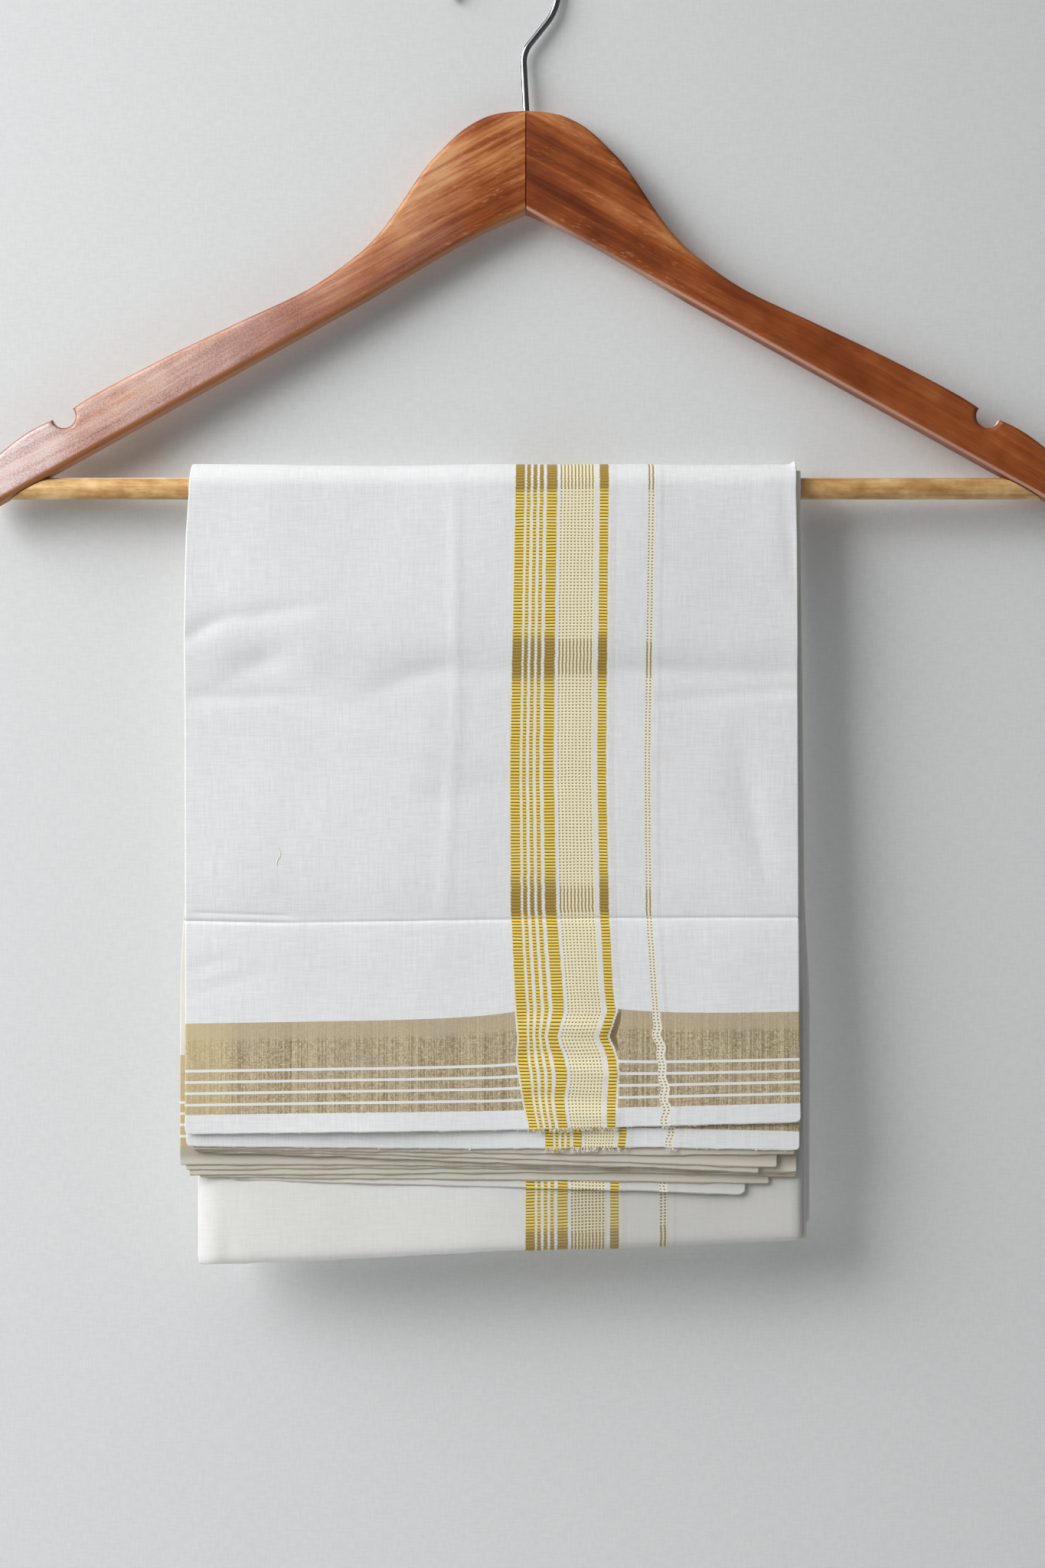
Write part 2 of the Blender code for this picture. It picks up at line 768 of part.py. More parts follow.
def build_hem_leaves(material):
    """The hidden layers' selvedges at the front hem, stepped like the pages of a fanned book."""
    outer = []
    inner = []
    for x in leaf_columns():
        column = leaf_column(x)
        outer.append([front_point(x, drop, thickness) for drop, thickness in column])
        inner.append([front_point(x, drop, 0.0) for drop, thickness in column])
    bm = bmesh.new()
    outer_verts = [[bm.verts.new(point) for point in column] for column in outer]
    inner_verts = [[bm.verts.new(point) for point in column] for column in inner]
    rows = len(outer[0])
    for left in range(len(outer) - 1):
        for row in range(rows - 1):
            for grid in (outer_verts, inner_verts):
                bm.faces.new((
                    grid[left][row],
                    grid[left + 1][row],
                    grid[left + 1][row + 1],
                    grid[left][row + 1],
                ))
    for column in (0, -1):
        for row in range(rows - 1):
            bm.faces.new((
                outer_verts[column][row],
                outer_verts[column][row + 1],
                inner_verts[column][row + 1],
                inner_verts[column][row],
            ))
    for left in range(len(outer) - 1):
        for row in (0, -1):
            bm.faces.new((
                outer_verts[left][row],
                outer_verts[left + 1][row],
                inner_verts[left + 1][row],
                inner_verts[left][row],
            ))
    return add_object("hem_leaves", bm, material, 30.0)


clear_scene()
cotton = make_material(*COTTON)
arm_wood = make_material(*ARM_WOOD)
bar_wood = make_material(*BAR_WOOD)
steel = make_material(*STEEL)
build_hook(steel)
shank_cutter = build_shank_cutter()
build_arm("hanger_arm_left", -1, arm_wood, shank_cutter)
build_arm("hanger_arm_right", 1, arm_wood, shank_cutter)
build_bar(bar_wood)
build_hidden_layers(cotton)
build_hem_leaves(cotton)
build_second_layer(cotton)
build_outer_layer(cotton)
build_inner_panel(cotton)
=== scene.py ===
import math

import bmesh
import bpy
import numpy as np
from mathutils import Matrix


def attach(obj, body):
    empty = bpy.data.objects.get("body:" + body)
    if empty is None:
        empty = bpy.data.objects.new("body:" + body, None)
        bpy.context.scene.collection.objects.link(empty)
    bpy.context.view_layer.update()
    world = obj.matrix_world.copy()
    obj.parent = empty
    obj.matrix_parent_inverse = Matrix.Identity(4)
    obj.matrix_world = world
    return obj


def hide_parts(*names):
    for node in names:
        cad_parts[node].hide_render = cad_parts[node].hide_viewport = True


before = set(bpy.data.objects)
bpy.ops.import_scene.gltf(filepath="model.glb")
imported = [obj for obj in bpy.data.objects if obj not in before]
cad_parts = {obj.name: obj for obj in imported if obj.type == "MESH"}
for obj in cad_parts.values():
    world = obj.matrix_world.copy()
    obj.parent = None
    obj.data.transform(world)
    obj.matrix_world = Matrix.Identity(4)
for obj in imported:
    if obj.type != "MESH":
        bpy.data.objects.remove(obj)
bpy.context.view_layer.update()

# Hook: polished steel wire, bent into an open loop that leans back over the joint. Its straight
# shank is pressed into a hole drilled down between the two wooden arms.

MM = 0.001
WIRE_RADIUS = 1.4
WIRE_SIDES = 20
LOOP_RADIUS = 21.4
LOOP_TIP_ANGLE = 186.0
HOOK_LEAN = 38.6
HOOK_STRAIGHT = 10.9
ELBOW_RADIUS = 11.5
ELBOW_END_ANGLE = 183.0
JOINT_X = 8.4
WOOD_TOP = -69.9
SHANK_DEPTH = 24.0


class Strand:
    """One shader socket that takes part in sums, so that a weave or a grain reads as a formula."""

    def __init__(self, tree, socket=None):
        self.tree = tree
        self.socket = socket

    def add(self, kind, settings=None, inputs=None, output=0):
        """Add a node: its settings first, then what its sockets hold or are linked to."""
        node = self.tree.nodes.new("ShaderNode" + kind)
        for name, value in (settings or {}).items():
            if name == "stops":
                ramp = node.color_ramp
                ramp.elements.remove(ramp.elements[1])
                for number, (place, colour) in enumerate(value):
                    stop = ramp.elements.new(place) if number else ramp.elements[0]
                    stop.position = place
                    stop.color = (*colour, 1.0)
            else:
                setattr(node, name, value)
        for place, value in (inputs or {}).items():
            if isinstance(value, Strand):
                self.tree.links.new(value.socket, node.inputs[place])
            else:
                node.inputs[place].default_value = value
        return Strand(self.tree, node.outputs[output])

    def maths(self, operation, first, second=0.0):
        return self.add("Math", {"operation": operation}, {0: first, 1: second})

    __add__ = __radd__ = lambda self, other: self.maths("ADD", self, other)
    __mul__ = __rmul__ = lambda self, other: self.maths("MULTIPLY", self, other)
    __sub__ = lambda self, other: self.maths("SUBTRACT", self, other)
    __rsub__ = lambda self, other: self.maths("SUBTRACT", other, self)
    __truediv__ = lambda self, other: self.maths("DIVIDE", self, other)
    __gt__ = lambda self, other: self.maths("GREATER_THAN", self, other)
    __lt__ = lambda self, other: self.maths("LESS_THAN", self, other)

    def between(self, low, high):
        """1 where the value lies between two limits, and 0 elsewhere."""
        return (self > low) * (self < high)

    def rise(self, low, high):
        """A soft step from 0 at low to 1 at high."""
        step = {"interpolation_type": "SMOOTHSTEP"}
        return self.add("MapRange", step, {0: self, 1: low, 2: high})

    def wave(self, period):
        """A sine from 0 to 1 with the given period."""
        return self.maths("SINE", self * (math.tau / period)) * 0.5 + 0.5

    def noise(self, scale, detail=2.0, roughness=0.5, output=0):
        """Noise from 0 to 1, where this socket holds a vector, or its colour as output 1."""
        values = {"Vector": self, "Scale": scale, "Detail": detail, "Roughness": roughness}
        return self.add("TexNoise", None, values, output)

    def bump(self, strength, distance):
        """The normal that this height gives."""
        return self.add("Bump", None, {"Strength": strength, "Distance": distance, "Height": self})

    def blend(self, without, with_it):
        """One colour where this mask is 0 and another where it is 1."""
        ends = [end if isinstance(end, Strand) else (*end, 1.0) for end in (without, with_it)]
        return self.add("Mix", {"data_type": "RGBA"}, {0: self, 6: ends[0], 7: ends[1]}, 2)

    def add_bend(self, scale, reach):
        """The same coordinates, pushed about by slow noise, so that straight grain wanders."""
        push = self.noise(scale, 1.0, output=1)
        centred = self.add("VectorMath", {"operation": "SUBTRACT"}, {0: push, 1: (0.5, 0.5, 0.5)})
        scaled = self.add("VectorMath", {"operation": "SCALE"}, {0: centred, "Scale": reach})
        return self.add("VectorMath", {"operation": "ADD"}, {0: self, 1: scaled})

    def stretched(self, x, y, z, turn=0.0):
        """The same coordinates, turned about Y by so many degrees, then scaled along each axis."""
        rotation = (0.0, math.radians(turn), 0.0)
        turned = self.add("Mapping", None, {"Vector": self, "Rotation": rotation})
        return self.add("Mapping", None, {"Vector": turned, "Scale": (x, y, z)})


def coated(colour, *coats):
    """A colour with others laid over it in turn, each as far as its mask is 1."""
    for mask, coat in coats:
        colour = mask.blend(colour, coat)
    return colour


def make_finish(name, surface, constants, *details):
    """A material: surface gives the sockets that vary, and constants the ones that don't."""
    material = bpy.data.materials.new(name)
    material.use_nodes = True
    tree = material.node_tree
    shader = tree.nodes["Principled BSDF"]
    for socket, value in constants.items():
        shader.inputs[socket].default_value = value
    for socket, strand in surface(Strand(tree), *details).items():
        tree.links.new(strand.socket, shader.inputs[socket])
    return material


def settle(name, finish, node):
    """Give the piece that was just made its name, finish and place in the frame."""
    piece = bpy.context.object
    piece.name = piece.data.name = name
    piece.data.materials.clear()
    piece.data.materials.append(finish)
    bpy.ops.object.transform_apply(location=True, rotation=True, scale=True)
    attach(piece, "root")
    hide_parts(node)


def steel_surface(strand):
    place = strand.add("TexCoord", output=3)
    drawn = place.stretched(1.0, 1.0, 0.12).noise(2600.0, 2.0)
    smudge = place.noise(160.0, 3.0)
    return {
        "Base Color": smudge.blend((0.33, 0.34, 0.36), (0.46, 0.47, 0.49)),
        "Roughness": drawn * 0.08 + smudge * 0.10 + 0.08,
        "Normal": drawn.bump(0.15, 0.00002),
    }


steel = make_finish("polished_steel", steel_surface, {"Metallic": 1.0})

loop_height = WIRE_RADIUS - LOOP_RADIUS
tip = math.radians(LOOP_TIP_ANGLE)
lean = math.radians(HOOK_LEAN)
tip_middle = MM * np.array(
    [LOOP_RADIUS * math.cos(tip), 0.0, loop_height + LOOP_RADIUS * math.sin(tip)]
)
bpy.ops.mesh.primitive_circle_add(
    vertices=WIRE_SIDES,
    radius=WIRE_RADIUS * MM,
    fill_type="NOTHING",
    location=tip_middle,
    rotation=(0.0, -tip, 0.0),
)
bpy.ops.object.transform_apply(location=True, rotation=True, scale=True)
bpy.ops.object.mode_set(mode="EDIT")
bpy.ops.mesh.select_all(action="SELECT")
bpy.ops.mesh.spin(
    steps=56,
    angle=-(tip + lean),
    center=(0.0, 0.0, loop_height * MM),
    axis=(0.0, 1.0, 0.0),
)


def run_on(step_x, step_z):
    """Draw the wire's open end out along a straight line."""
    step = (step_x * MM, 0.0, step_z * MM)
    bpy.ops.mesh.extrude_edges_move(TRANSFORM_OT_translate={"value": step})


run = (-HOOK_STRAIGHT * math.sin(lean), -HOOK_STRAIGHT * math.cos(lean))
run_on(*run)
elbow_start = (
    LOOP_RADIUS * math.cos(lean) + run[0],
    loop_height - LOOP_RADIUS * math.sin(lean) + run[1],
)
elbow_centre = (
    elbow_start[0] + ELBOW_RADIUS * math.cos(lean),
    elbow_start[1] - ELBOW_RADIUS * math.sin(lean),
)
bpy.ops.mesh.spin(
    steps=14,
    angle=math.radians(ELBOW_END_ANGLE + HOOK_LEAN - 180.0),
    center=(elbow_centre[0] * MM, 0.0, elbow_centre[1] * MM),
    axis=(0.0, 1.0, 0.0),
)
elbow_end = math.radians(ELBOW_END_ANGLE)
shank_from = (
    elbow_centre[0] + ELBOW_RADIUS * math.cos(elbow_end),
    elbow_centre[1] + ELBOW_RADIUS * math.sin(elbow_end),
)
for stop in (WOOD_TOP + 1.0, WOOD_TOP - SHANK_DEPTH):
    run_on(JOINT_X - shank_from[0], stop - shank_from[1])
    shank_from = (JOINT_X, stop)
bpy.ops.mesh.edge_face_add()
bpy.ops.object.mode_set(mode="OBJECT")
hook = bpy.context.object
for vertex in hook.data.vertices:
    away = np.linalg.norm(np.array(vertex.co) - tip_middle)
    vertex.select = bool(away < WIRE_RADIUS * MM * 1.001)
for edge in hook.data.edges:
    edge.select = all(hook.data.vertices[end].select for end in edge.vertices)
for face in hook.data.polygons:
    face.select = False
bpy.ops.object.mode_set(mode="EDIT")
out_of_tip = np.array([-math.sin(tip), 0.0, math.cos(tip)]) * WIRE_RADIUS * MM
for reach, width in ((0.5, 0.87), (0.37, 0.58), (0.13, 0.1)):
    bpy.ops.mesh.extrude_edges_move(TRANSFORM_OT_translate={"value": out_of_tip * reach})
    tip_middle = tip_middle + out_of_tip * reach
    bpy.ops.transform.resize(value=(width, width, width), center_override=tip_middle)
bpy.ops.mesh.edge_face_add()
bpy.ops.mesh.select_all(action="SELECT")
bpy.ops.mesh.normals_make_consistent(inside=False)
bpy.ops.object.mode_set(mode="OBJECT")
bpy.ops.object.shade_smooth_by_angle(angle=math.radians(50.0))
settle("wire_hook", steel, "hook")

# Arms: two sawn and sanded boards of reddish-brown hardwood, glued end to end over the hook's
# shank. Their edges are rounded over, a strap notch is cut into each, and the whole is stained and
# varnished.

ARM_THICKNESS = 10.5
ARM_ROUNDING = 2.2
JOINT_GAP = 0.02
ARM_SLOPE_DEGREES = 29.1
ARM_SLOPE_COSINE = math.cos(math.radians(ARM_SLOPE_DEGREES))
ARM_LOWER_SLOPE = -0.5566
WOOD_TONES = (
    (0.08, (0.135, 0.025, 0.005)),
    (0.34, (0.250, 0.055, 0.011)),
    (0.54, (0.370, 0.098, 0.023)),
    (0.76, (0.530, 0.190, 0.058)),
    (0.96, (0.690, 0.330, 0.130)),
)
# Upper edge, out from the joint and height: from the joint to the inner lip of the notch
ARM_TOP = (
    (0.0, -69.9), (9.6, -70.7), (17.4, -72.9), (25.8, -77.8), (33.9, -85.3), (41.7, -94.0),
    (54.1, -112.4), (61.0, -121.1), (69.0, -128.8), (88.6, -142.5), (117.3, -156.1),
    (145.9, -169.8), (173.5, -184.2), (184.3, -190.9),
)
NOTCH_CENTRE = (188.0, -194.1)
NOTCH_RADIUS = 4.8
ARM_NOSE = (
    (192.6, -195.6), (199.4, -198.8), (205.9, -202.9), (213.7, -209.1), (218.6, -214.4),
    (222.1, -220.6), (223.0, -226.4), (220.8, -231.2), (215.6, -230.4),
)
ARM_LOWER = ((65.3, -146.7), (37.3, -129.8), (18.7, -119.5), (0.0, -111.0))


def smooth_line(points, pieces):
    """Points on a smooth line through the given ones, with so many pieces between each two."""
    points = np.array(points, float)
    padded = np.vstack([points[:1], points, points[-1:]])
    share = np.linspace(0.0, 1.0, pieces, endpoint=False)[:, None]
    line = []
    for a, b, c, d in zip(padded, padded[1:], padded[2:], padded[3:]):
        line.append(
            0.5 * (2.0 * b + (c - a) * share + (2.0 * a - 5.0 * b + 4.0 * c - d) * share ** 2
                   + (3.0 * b - a - 3.0 * c + d) * share ** 3)
        )
    return np.vstack(line + [points[-1:]])


notch_angles = np.radians(np.linspace(142.0, 342.0, 21)[1:-1])
notch = np.column_stack([
    NOTCH_CENTRE[0] + NOTCH_RADIUS * np.cos(notch_angles),
    NOTCH_CENTRE[1] + NOTCH_RADIUS * np.sin(notch_angles),
])
arm_outline = np.vstack([
    smooth_line(ARM_TOP, 5), notch, smooth_line(ARM_NOSE, 4), smooth_line(ARM_LOWER, 4)
])


def arm_surface(strand, side):
    """Stained hardwood with its grain along the arm: bands, streaks, short flecks and pores."""
    place = strand.add("TexCoord", output=3)
    x, y, z = (strand.add("SeparateXYZ", None, {0: place}, axis) for axis in range(3))
    out = (x / MM - JOINT_X) * side
    forward = y / (ARM_THICKNESS * MM)
    above = (z / MM - ARM_LOWER[-1][1] - out * ARM_LOWER_SLOPE) * ARM_SLOPE_COSINE
    turn = -side * ARM_SLOPE_DEGREES
    bent = place.add_bend(8.0, 0.012)
    drift = bent.stretched(7.0, 3.0, 40.0, turn).noise(1.0, 2.0, 0.5)
    bands = bent.stretched(9.0, 20.0, 130.0, turn).noise(1.0, 3.0, 0.6)
    streaks = bent.stretched(16.0, 60.0, 520.0, turn).noise(1.0, 4.0, 0.65)
    cross = place.stretched(70.0, 30.0, 60.0, turn + side * 62.0).noise(1.0, 2.0, 0.55)
    flecks = bent.stretched(260.0, 900.0, 1400.0, turn + side * 9.0).noise(1.0, 1.0)
    near_joint = 1.0 - out.rise(45.0, 105.0)
    fleck_mask = flecks.rise(0.58, 0.70) * bands.rise(0.40, 0.62) * (near_joint * 0.8 + 0.2)
    pores = bent.stretched(120.0, 900.0, 2600.0, turn).noise(1.0, 1.0)
    pore_mask = pores.rise(0.62, 0.72)
    figure = drift * 0.40 + bands * 0.34 + streaks * 0.26
    # the left board is darker at the joint and paler beyond, partly its own tone and partly
    # painted light
    lift = out.rise(14.0, 40.0) * 0.27 + 0.29 if side < 0 else 0.41 - near_joint * 0.03
    quiet = 3.0 if side < 0 else 1.7
    shade = (figure - 0.5) * (near_joint * 1.3 + quiet) + (cross - 0.5) * 0.5
    shade = shade + above * (near_joint * 0.004 + 0.003) + lift
    tone = strand.add("ValToRGB", {"stops": WOOD_TONES}, {"Fac": shade})
    tone = coated(
        tone, (fleck_mask * 0.42, (0.66, 0.34, 0.16)), (pore_mask * 0.45, (0.11, 0.026, 0.009))
    )
    lower_edge = 1.0 - above.rise(2.0, 3.3)
    if side < 0:
        # painted sheen of the window's light on the front face, and painted shade on the rim round
        # it
        front_face = 1.0 - forward.rise(-0.485, -0.40)
        rim = (1.0 - front_face) * (1.0 - forward.rise(0.40, 0.485)) * (1.0 - lower_edge)
        mottle = place.noise(1500.0, 2.0).rise(0.40, 0.62)
        # painted sheen: lighter towards the outer end, mottled, and kept off the lower edge
        painted_sheen = out.rise(18.0, 42.0) * 0.09 + out.rise(60.0, 150.0) * 0.44
        painted_sheen = painted_sheen + out.rise(172.0, 214.0) * 0.42
        painted_sheen = painted_sheen * (mottle * 0.46 + (cross - 0.5) * 0.9 + (streaks - 0.5) * 1.2 + 0.70)
        painted_sheen = painted_sheen * (1.0 - lower_edge) * (front_face * 0.85 + 0.15)
        tone = coated(
            tone,
            (painted_sheen, (0.81, 0.66, 0.655)),
            (rim * 0.55, (0.25, 0.075, 0.026)),
            (lower_edge * 0.75, (0.47, 0.19, 0.070)),
        )
    else:
        # painted highlight along the lower edge, where the rounded edge catches the pale cloth's
        # light
        edge_highlight = above.rise(0.5, 1.1) * (1.0 - above.rise(1.5, 2.3))
        tone = coated(
            tone, (lower_edge * 0.4, (0.30, 0.085, 0.028)), (edge_highlight * 0.62, (0.72, 0.44, 0.33))
        )
    # painted shadow in the open gap along the joint's lower part
    in_joint = (1.0 - out.rise(0.12, 0.26)) * (z < -0.0885)
    tone = (in_joint * 0.9).blend(tone, (0.018, 0.008, 0.004))
    return {
        "Base Color": tone,
        "Roughness": 0.34 + streaks * 0.16 + pore_mask * 0.2,
        "Normal": (streaks * 0.5 - pore_mask * 0.6).bump(0.35, 0.00012),
    }


for side, way in ((-1, "left"), (1, "right")):
    bpy.ops.mesh.primitive_circle_add(vertices=len(arm_outline), radius=0.1, fill_type="NGON")
    arm = bpy.context.object
    for vertex, (out, height) in zip(arm.data.vertices, arm_outline):
        sideways = JOINT_X + side * (out + JOINT_GAP)
        vertex.co = (sideways * MM, -ARM_THICKNESS / 2.0 * MM, height * MM)
    bpy.ops.object.mode_set(mode="EDIT")
    bpy.ops.mesh.select_all(action="SELECT")
    backwards = (0.0, ARM_THICKNESS * MM, 0.0)
    bpy.ops.mesh.extrude_region_move(TRANSFORM_OT_translate={"value": backwards})
    bpy.ops.mesh.select_all(action="SELECT")
    bpy.ops.mesh.normals_make_consistent(inside=False)
    bpy.ops.object.mode_set(mode="OBJECT")
    weights = arm.data.attributes.new("bevel_weight_edge", "FLOAT", "EDGE")
    for edge in arm.data.edges:
        ends = [arm.data.vertices[index].co for index in edge.vertices]
        across = abs(ends[0].y - ends[1].y) > MM
        at_joint = max(abs(end.x - JOINT_X * MM) for end in ends) < (JOINT_GAP + 0.01) * MM
        weights.data[edge.index].value = 0.0 if across else 0.12 if at_joint else 1.0
    bevel = arm.modifiers.new("rounded_edges", "BEVEL")
    bevel.limit_method = "WEIGHT"
    bevel.width = ARM_ROUNDING * MM
    bevel.segments = 5
    bevel.use_clamp_overlap = False
    bpy.ops.object.modifier_apply(modifier=bevel.name)
    bpy.ops.object.shade_smooth_by_angle(angle=math.radians(32.0))
    varnish = {"Coat Weight": 0.15, "Coat Roughness": 0.30, "Specular IOR Level": 0.28}
    varnished = make_finish(f"varnished_{way}_arm", arm_surface, varnish, side)
    settle(f"{way}_arm", varnished, f"hanger_arm_{way}")

# Trouser bar: a turned dowel of light wood, varnished but not stained. Its ends are sawn to the
# slope of the arms and pinned under them from below.

BAR_RADIUS = 4.4
BAR_HEIGHT = -223.3
BAR_HALF_LENGTH = 223.0
BAR_SEAM = 0.3
BAR_TONES = (
    (0.18, (0.400, 0.190, 0.055)),
    (0.42, (0.560, 0.315, 0.115)),
    (0.60, (0.700, 0.440, 0.180)),
    (0.80, (0.830, 0.610, 0.330)),
)


def bar_surface(strand):
    place = strand.add("TexCoord", output=3)
    mottle = place.stretched(95.0, 150.0, 150.0).noise(1.0, 3.0, 0.6)
    streaks = place.stretched(10.0, 420.0, 420.0).noise(1.0, 4.0, 0.6)
    flecks = place.stretched(190.0, 2200.0, 2200.0).noise(1.0, 1.0)
    fleck_mask = flecks.rise(0.62, 0.72)
    shade = (mottle * 0.55 + streaks * 0.45 - 0.5) * 1.9 + 0.52
    tone = strand.add("ValToRGB", {"stops": BAR_TONES}, {"Fac": shade})
    return {
        "Base Color": (fleck_mask * 0.45).blend(tone, (0.26, 0.12, 0.04)),
        "Roughness": 0.34 + streaks * 0.14,
        "Normal": streaks.bump(0.3, 0.0001),
    }


bpy.ops.mesh.primitive_cylinder_add(
    vertices=48,
    radius=BAR_RADIUS * MM,
    depth=2.0 * BAR_HALF_LENGTH * MM,
    location=(JOINT_X * MM, 0.0, BAR_HEIGHT * MM),
    rotation=(0.0, math.radians(90.0), 0.0),
)
bar = bpy.context.object
bpy.ops.object.transform_apply(location=True, rotation=True, scale=True)
bpy.ops.object.mode_set(mode="EDIT")
slope_length = math.hypot(1.0, ARM_LOWER_SLOPE)
for side in (-1, 1):
    across = (side * -ARM_LOWER_SLOPE / slope_length, 0.0, 1.0 / slope_length)
    under_arm = (
        JOINT_X + side * (ARM_LOWER[0][0] + JOINT_GAP) - across[0] * BAR_SEAM,
        0.0,
        ARM_LOWER[0][1] - across[2] * BAR_SEAM,
    )
    bpy.ops.mesh.select_all(action="SELECT")
    cut_at = [value * MM for value in under_arm]
    bpy.ops.mesh.bisect(plane_co=cut_at, plane_no=across, clear_outer=True, use_fill=True)
bpy.ops.mesh.select_all(action="SELECT")
bpy.ops.mesh.normals_make_consistent(inside=False)
bpy.ops.object.mode_set(mode="OBJECT")
bevel = bar.modifiers.new("eased_ends", "BEVEL")
bevel.width = 0.35 * MM
bevel.segments = 2
bevel.angle_limit = math.radians(40.0)
bpy.ops.object.modifier_apply(modifier=bevel.name)
bpy.ops.object.shade_smooth_by_angle(angle=math.radians(30.0))
varnish = {"Coat Weight": 0.15, "Coat Roughness": 0.3, "Specular IOR Level": 0.3}
settle("wooden_bar", make_finish("varnished_bar", bar_surface, varnish), "trouser_bar")

# Inner panel: the innermost thickness of the folded dhoti, fine handloomed cotton, white, with
# gold woven into it. It lies on the bar, and its back half hangs lowest and ends in the width
# fold.

# The front half, a row for each bend of its profile: how far below the bar it is, how far its
# inner face stands from the bar's middle plane, and how thick the stack of hidden layers is there.
FRONT_PROFILE = np.array([
    (-20.0, 4.7, 2.5), (20.0, 4.7, 2.5), (30.0, 4.6, 2.5), (46.0, 4.5, 2.5), (60.0, 4.2, 2.5),
    (66.0, 3.8, 2.5), (73.0, 3.0, 2.5), (80.0, 2.4, 2.5), (90.0, 2.0, 2.5), (110.0, 1.6, 2.5),
    (135.0, 1.4, 2.5), (160.0, 1.2, 2.5), (170.0, 0.8, 2.4), (175.0, 0.4, 2.3), (179.0, 0.8, 2.5),
    (188.0, 1.0, 2.7), (202.0, 0.9, 2.9), (217.0, 0.9, 3.2), (231.0, 0.9, 3.7), (246.0, 0.9, 4.4),
    (262.0, 0.9, 5.0), (350.0, 0.9, 5.0),
])
BACK_PROFILE = np.array([
    (-20.0, 4.7), (20.0, 4.7), (40.0, 4.4), (60.0, 3.7), (80.0, 2.8), (105.0, 2.0), (140.0, 1.5),
    (190.0, 1.2), (240.0, 1.0), (280.0, 0.9), (350.0, 0.9),
])
PROFILE_STEP = 0.5
PROFILE_SOFTNESS = 1.8
# The five places across the packet at which every hem and bottom fold is given
HEM_PLACES = np.array([-130.0, -68.0, -5.0, 57.0, 120.0])
HEM_STRETCH_FROM = 205.0
BEND_RADIUS = 4.7
BEND_ROWS = 22

# Where the woven cross band runs on a panel: drop below the bar, its left edge, the right edge of
# its second wide column, its right edge, and the middle of the thin double line right of it. In
# the border zone it is drawn in and waves.
FRONT_BAND = np.array([
    (-15.0, 4.5, 21.4, 42.1, 59.6), (50.0, 3.2, 20.4, 41.5, 58.7), (113.0, 1.9, 19.8, 41.0, 57.9),
    (171.0, 2.2, 20.9, 42.2, 58.4), (205.0, 3.8, 23.7, 43.9, 60.6), (212.5, 4.4, 24.1, 45.0, 61.3),
    (218.0, 4.9, 22.6, 43.2, 61.5), (222.8, 5.4, 21.2, 41.4, 61.8), (227.0, 5.1, 22.4, 43.4, 62.9),
    (231.5, 4.8, 24.2, 45.0, 63.4), (237.7, 5.6, 25.3, 45.7, 63.6), (241.1, 6.2, 25.2, 45.3, 64.4),
    (247.3, 7.2, 24.1, 45.0, 64.6), (252.0, 8.1, 24.3, 44.7, 65.2), (258.5, 9.4, 25.4, 44.6, 64.9),
    (266.0, 9.8, 25.6, 44.6, 65.3), (350.0, 10.0, 25.8, 44.6, 65.3),
])
INNER_BAND = np.array([(-20.0, 8.2, 25.6, 46.4, 64.6), (350.0, 8.2, 25.6, 46.4, 64.6)])
BAND_WIDTH = 39.4
MIDDLE_PLACE = 18.0
LINE_PLACE = 56.3
BAND_SWELL = 3.2
LINE_WAVE = 0.55
LINE_WAVE_LENGTH = 8.6
BAND_SWELL_REACH = 22.0
BORDER_TOP = 44.6


def soften(profile):
    """A table of bends as a smooth line of closely spaced places."""
    places = np.arange(profile[0, 0], profile[-1, 0], PROFILE_STEP)
    reach = np.arange(-12, 13) * PROFILE_STEP
    weights = np.exp(-(reach / PROFILE_SOFTNESS) ** 2)
    weights /= weights.sum()
    columns = [places]
    for column in profile.T[1:]:
        level = np.interp(places, profile[:, 0], column)
        columns.append(np.convolve(np.pad(level, 12, mode="edge"), weights, mode="valid"))
    return np.column_stack(columns)


def read(table, column, place):
    return np.interp(place, table[:, 0], table[:, column])


front_profile = soften(FRONT_PROFILE)
back_profile = soften(BACK_PROFILE)


def hidden_at(drop):
    """Thickness of the hidden layers of the front half."""
    return read(front_profile, 2, drop)


# Creases pressed into the whole packet: from one place to another, half width and depth in. The
# first is the sharp fold across it, and the slanting ones lie at its left edge.
FRONT_CREASES = np.array([
    (-135.0, 175.9, -90.7, 176.8, 0.62, 0.72), (-90.7, 176.8, 2.0, 175.5, 0.62, 0.48),
    (2.0, 175.5, 43.8, 174.9, 0.62, 0.48), (43.8, 174.9, 125.0, 174.6, 0.62, 0.50),
    (-127.0, 172.6, -88.0, 173.9, 0.6, 0.30),
    (-131.0, 62.5, -115.0, 53.5, 2.8, 0.85), (-116.0, 54.0, -78.0, 48.6, 3.4, 0.70),
    (-131.0, 89.0, -87.4, 64.6, 4.0, 0.30), (-130.0, 85.4, -84.0, 84.6, 2.4, 0.60),
    (-108.0, 71.5, -88.0, 70.0, 6.5, 0.80), (-59.2, 85.4, -18.2, 70.2, 5.0, 0.55),
    (-40.0, 75.5, 4.0, 74.5, 5.0, 0.62), (40.0, 74.0, 122.0, 75.5, 5.2, 0.85),
    (62.0, 86.5, 122.0, 82.0, 2.6, 0.50), (-20.4, -5.0, -20.0, 88.0, 1.6, -0.34),
    (-20.0, 88.0, -24.5, 172.0, 1.8, -0.30), (-74.0, 94.0, -18.0, 112.0, 9.0, -0.70),
    (96.0, 110.0, 106.0, 160.0, 7.0, 0.80), (98.0, 40.0, 122.0, 54.0, 4.4, 0.50),
    (113.0, 2.0, 117.0, 40.0, 2.4, 0.40), (-40.0, 128.0, 30.0, 118.0, 7.0, 0.35),
    (-128.0, 196.0, -112.0, 191.5, 3.0, 0.45), (-128.0, 206.0, -104.0, 199.0, 3.4, 0.40),
])
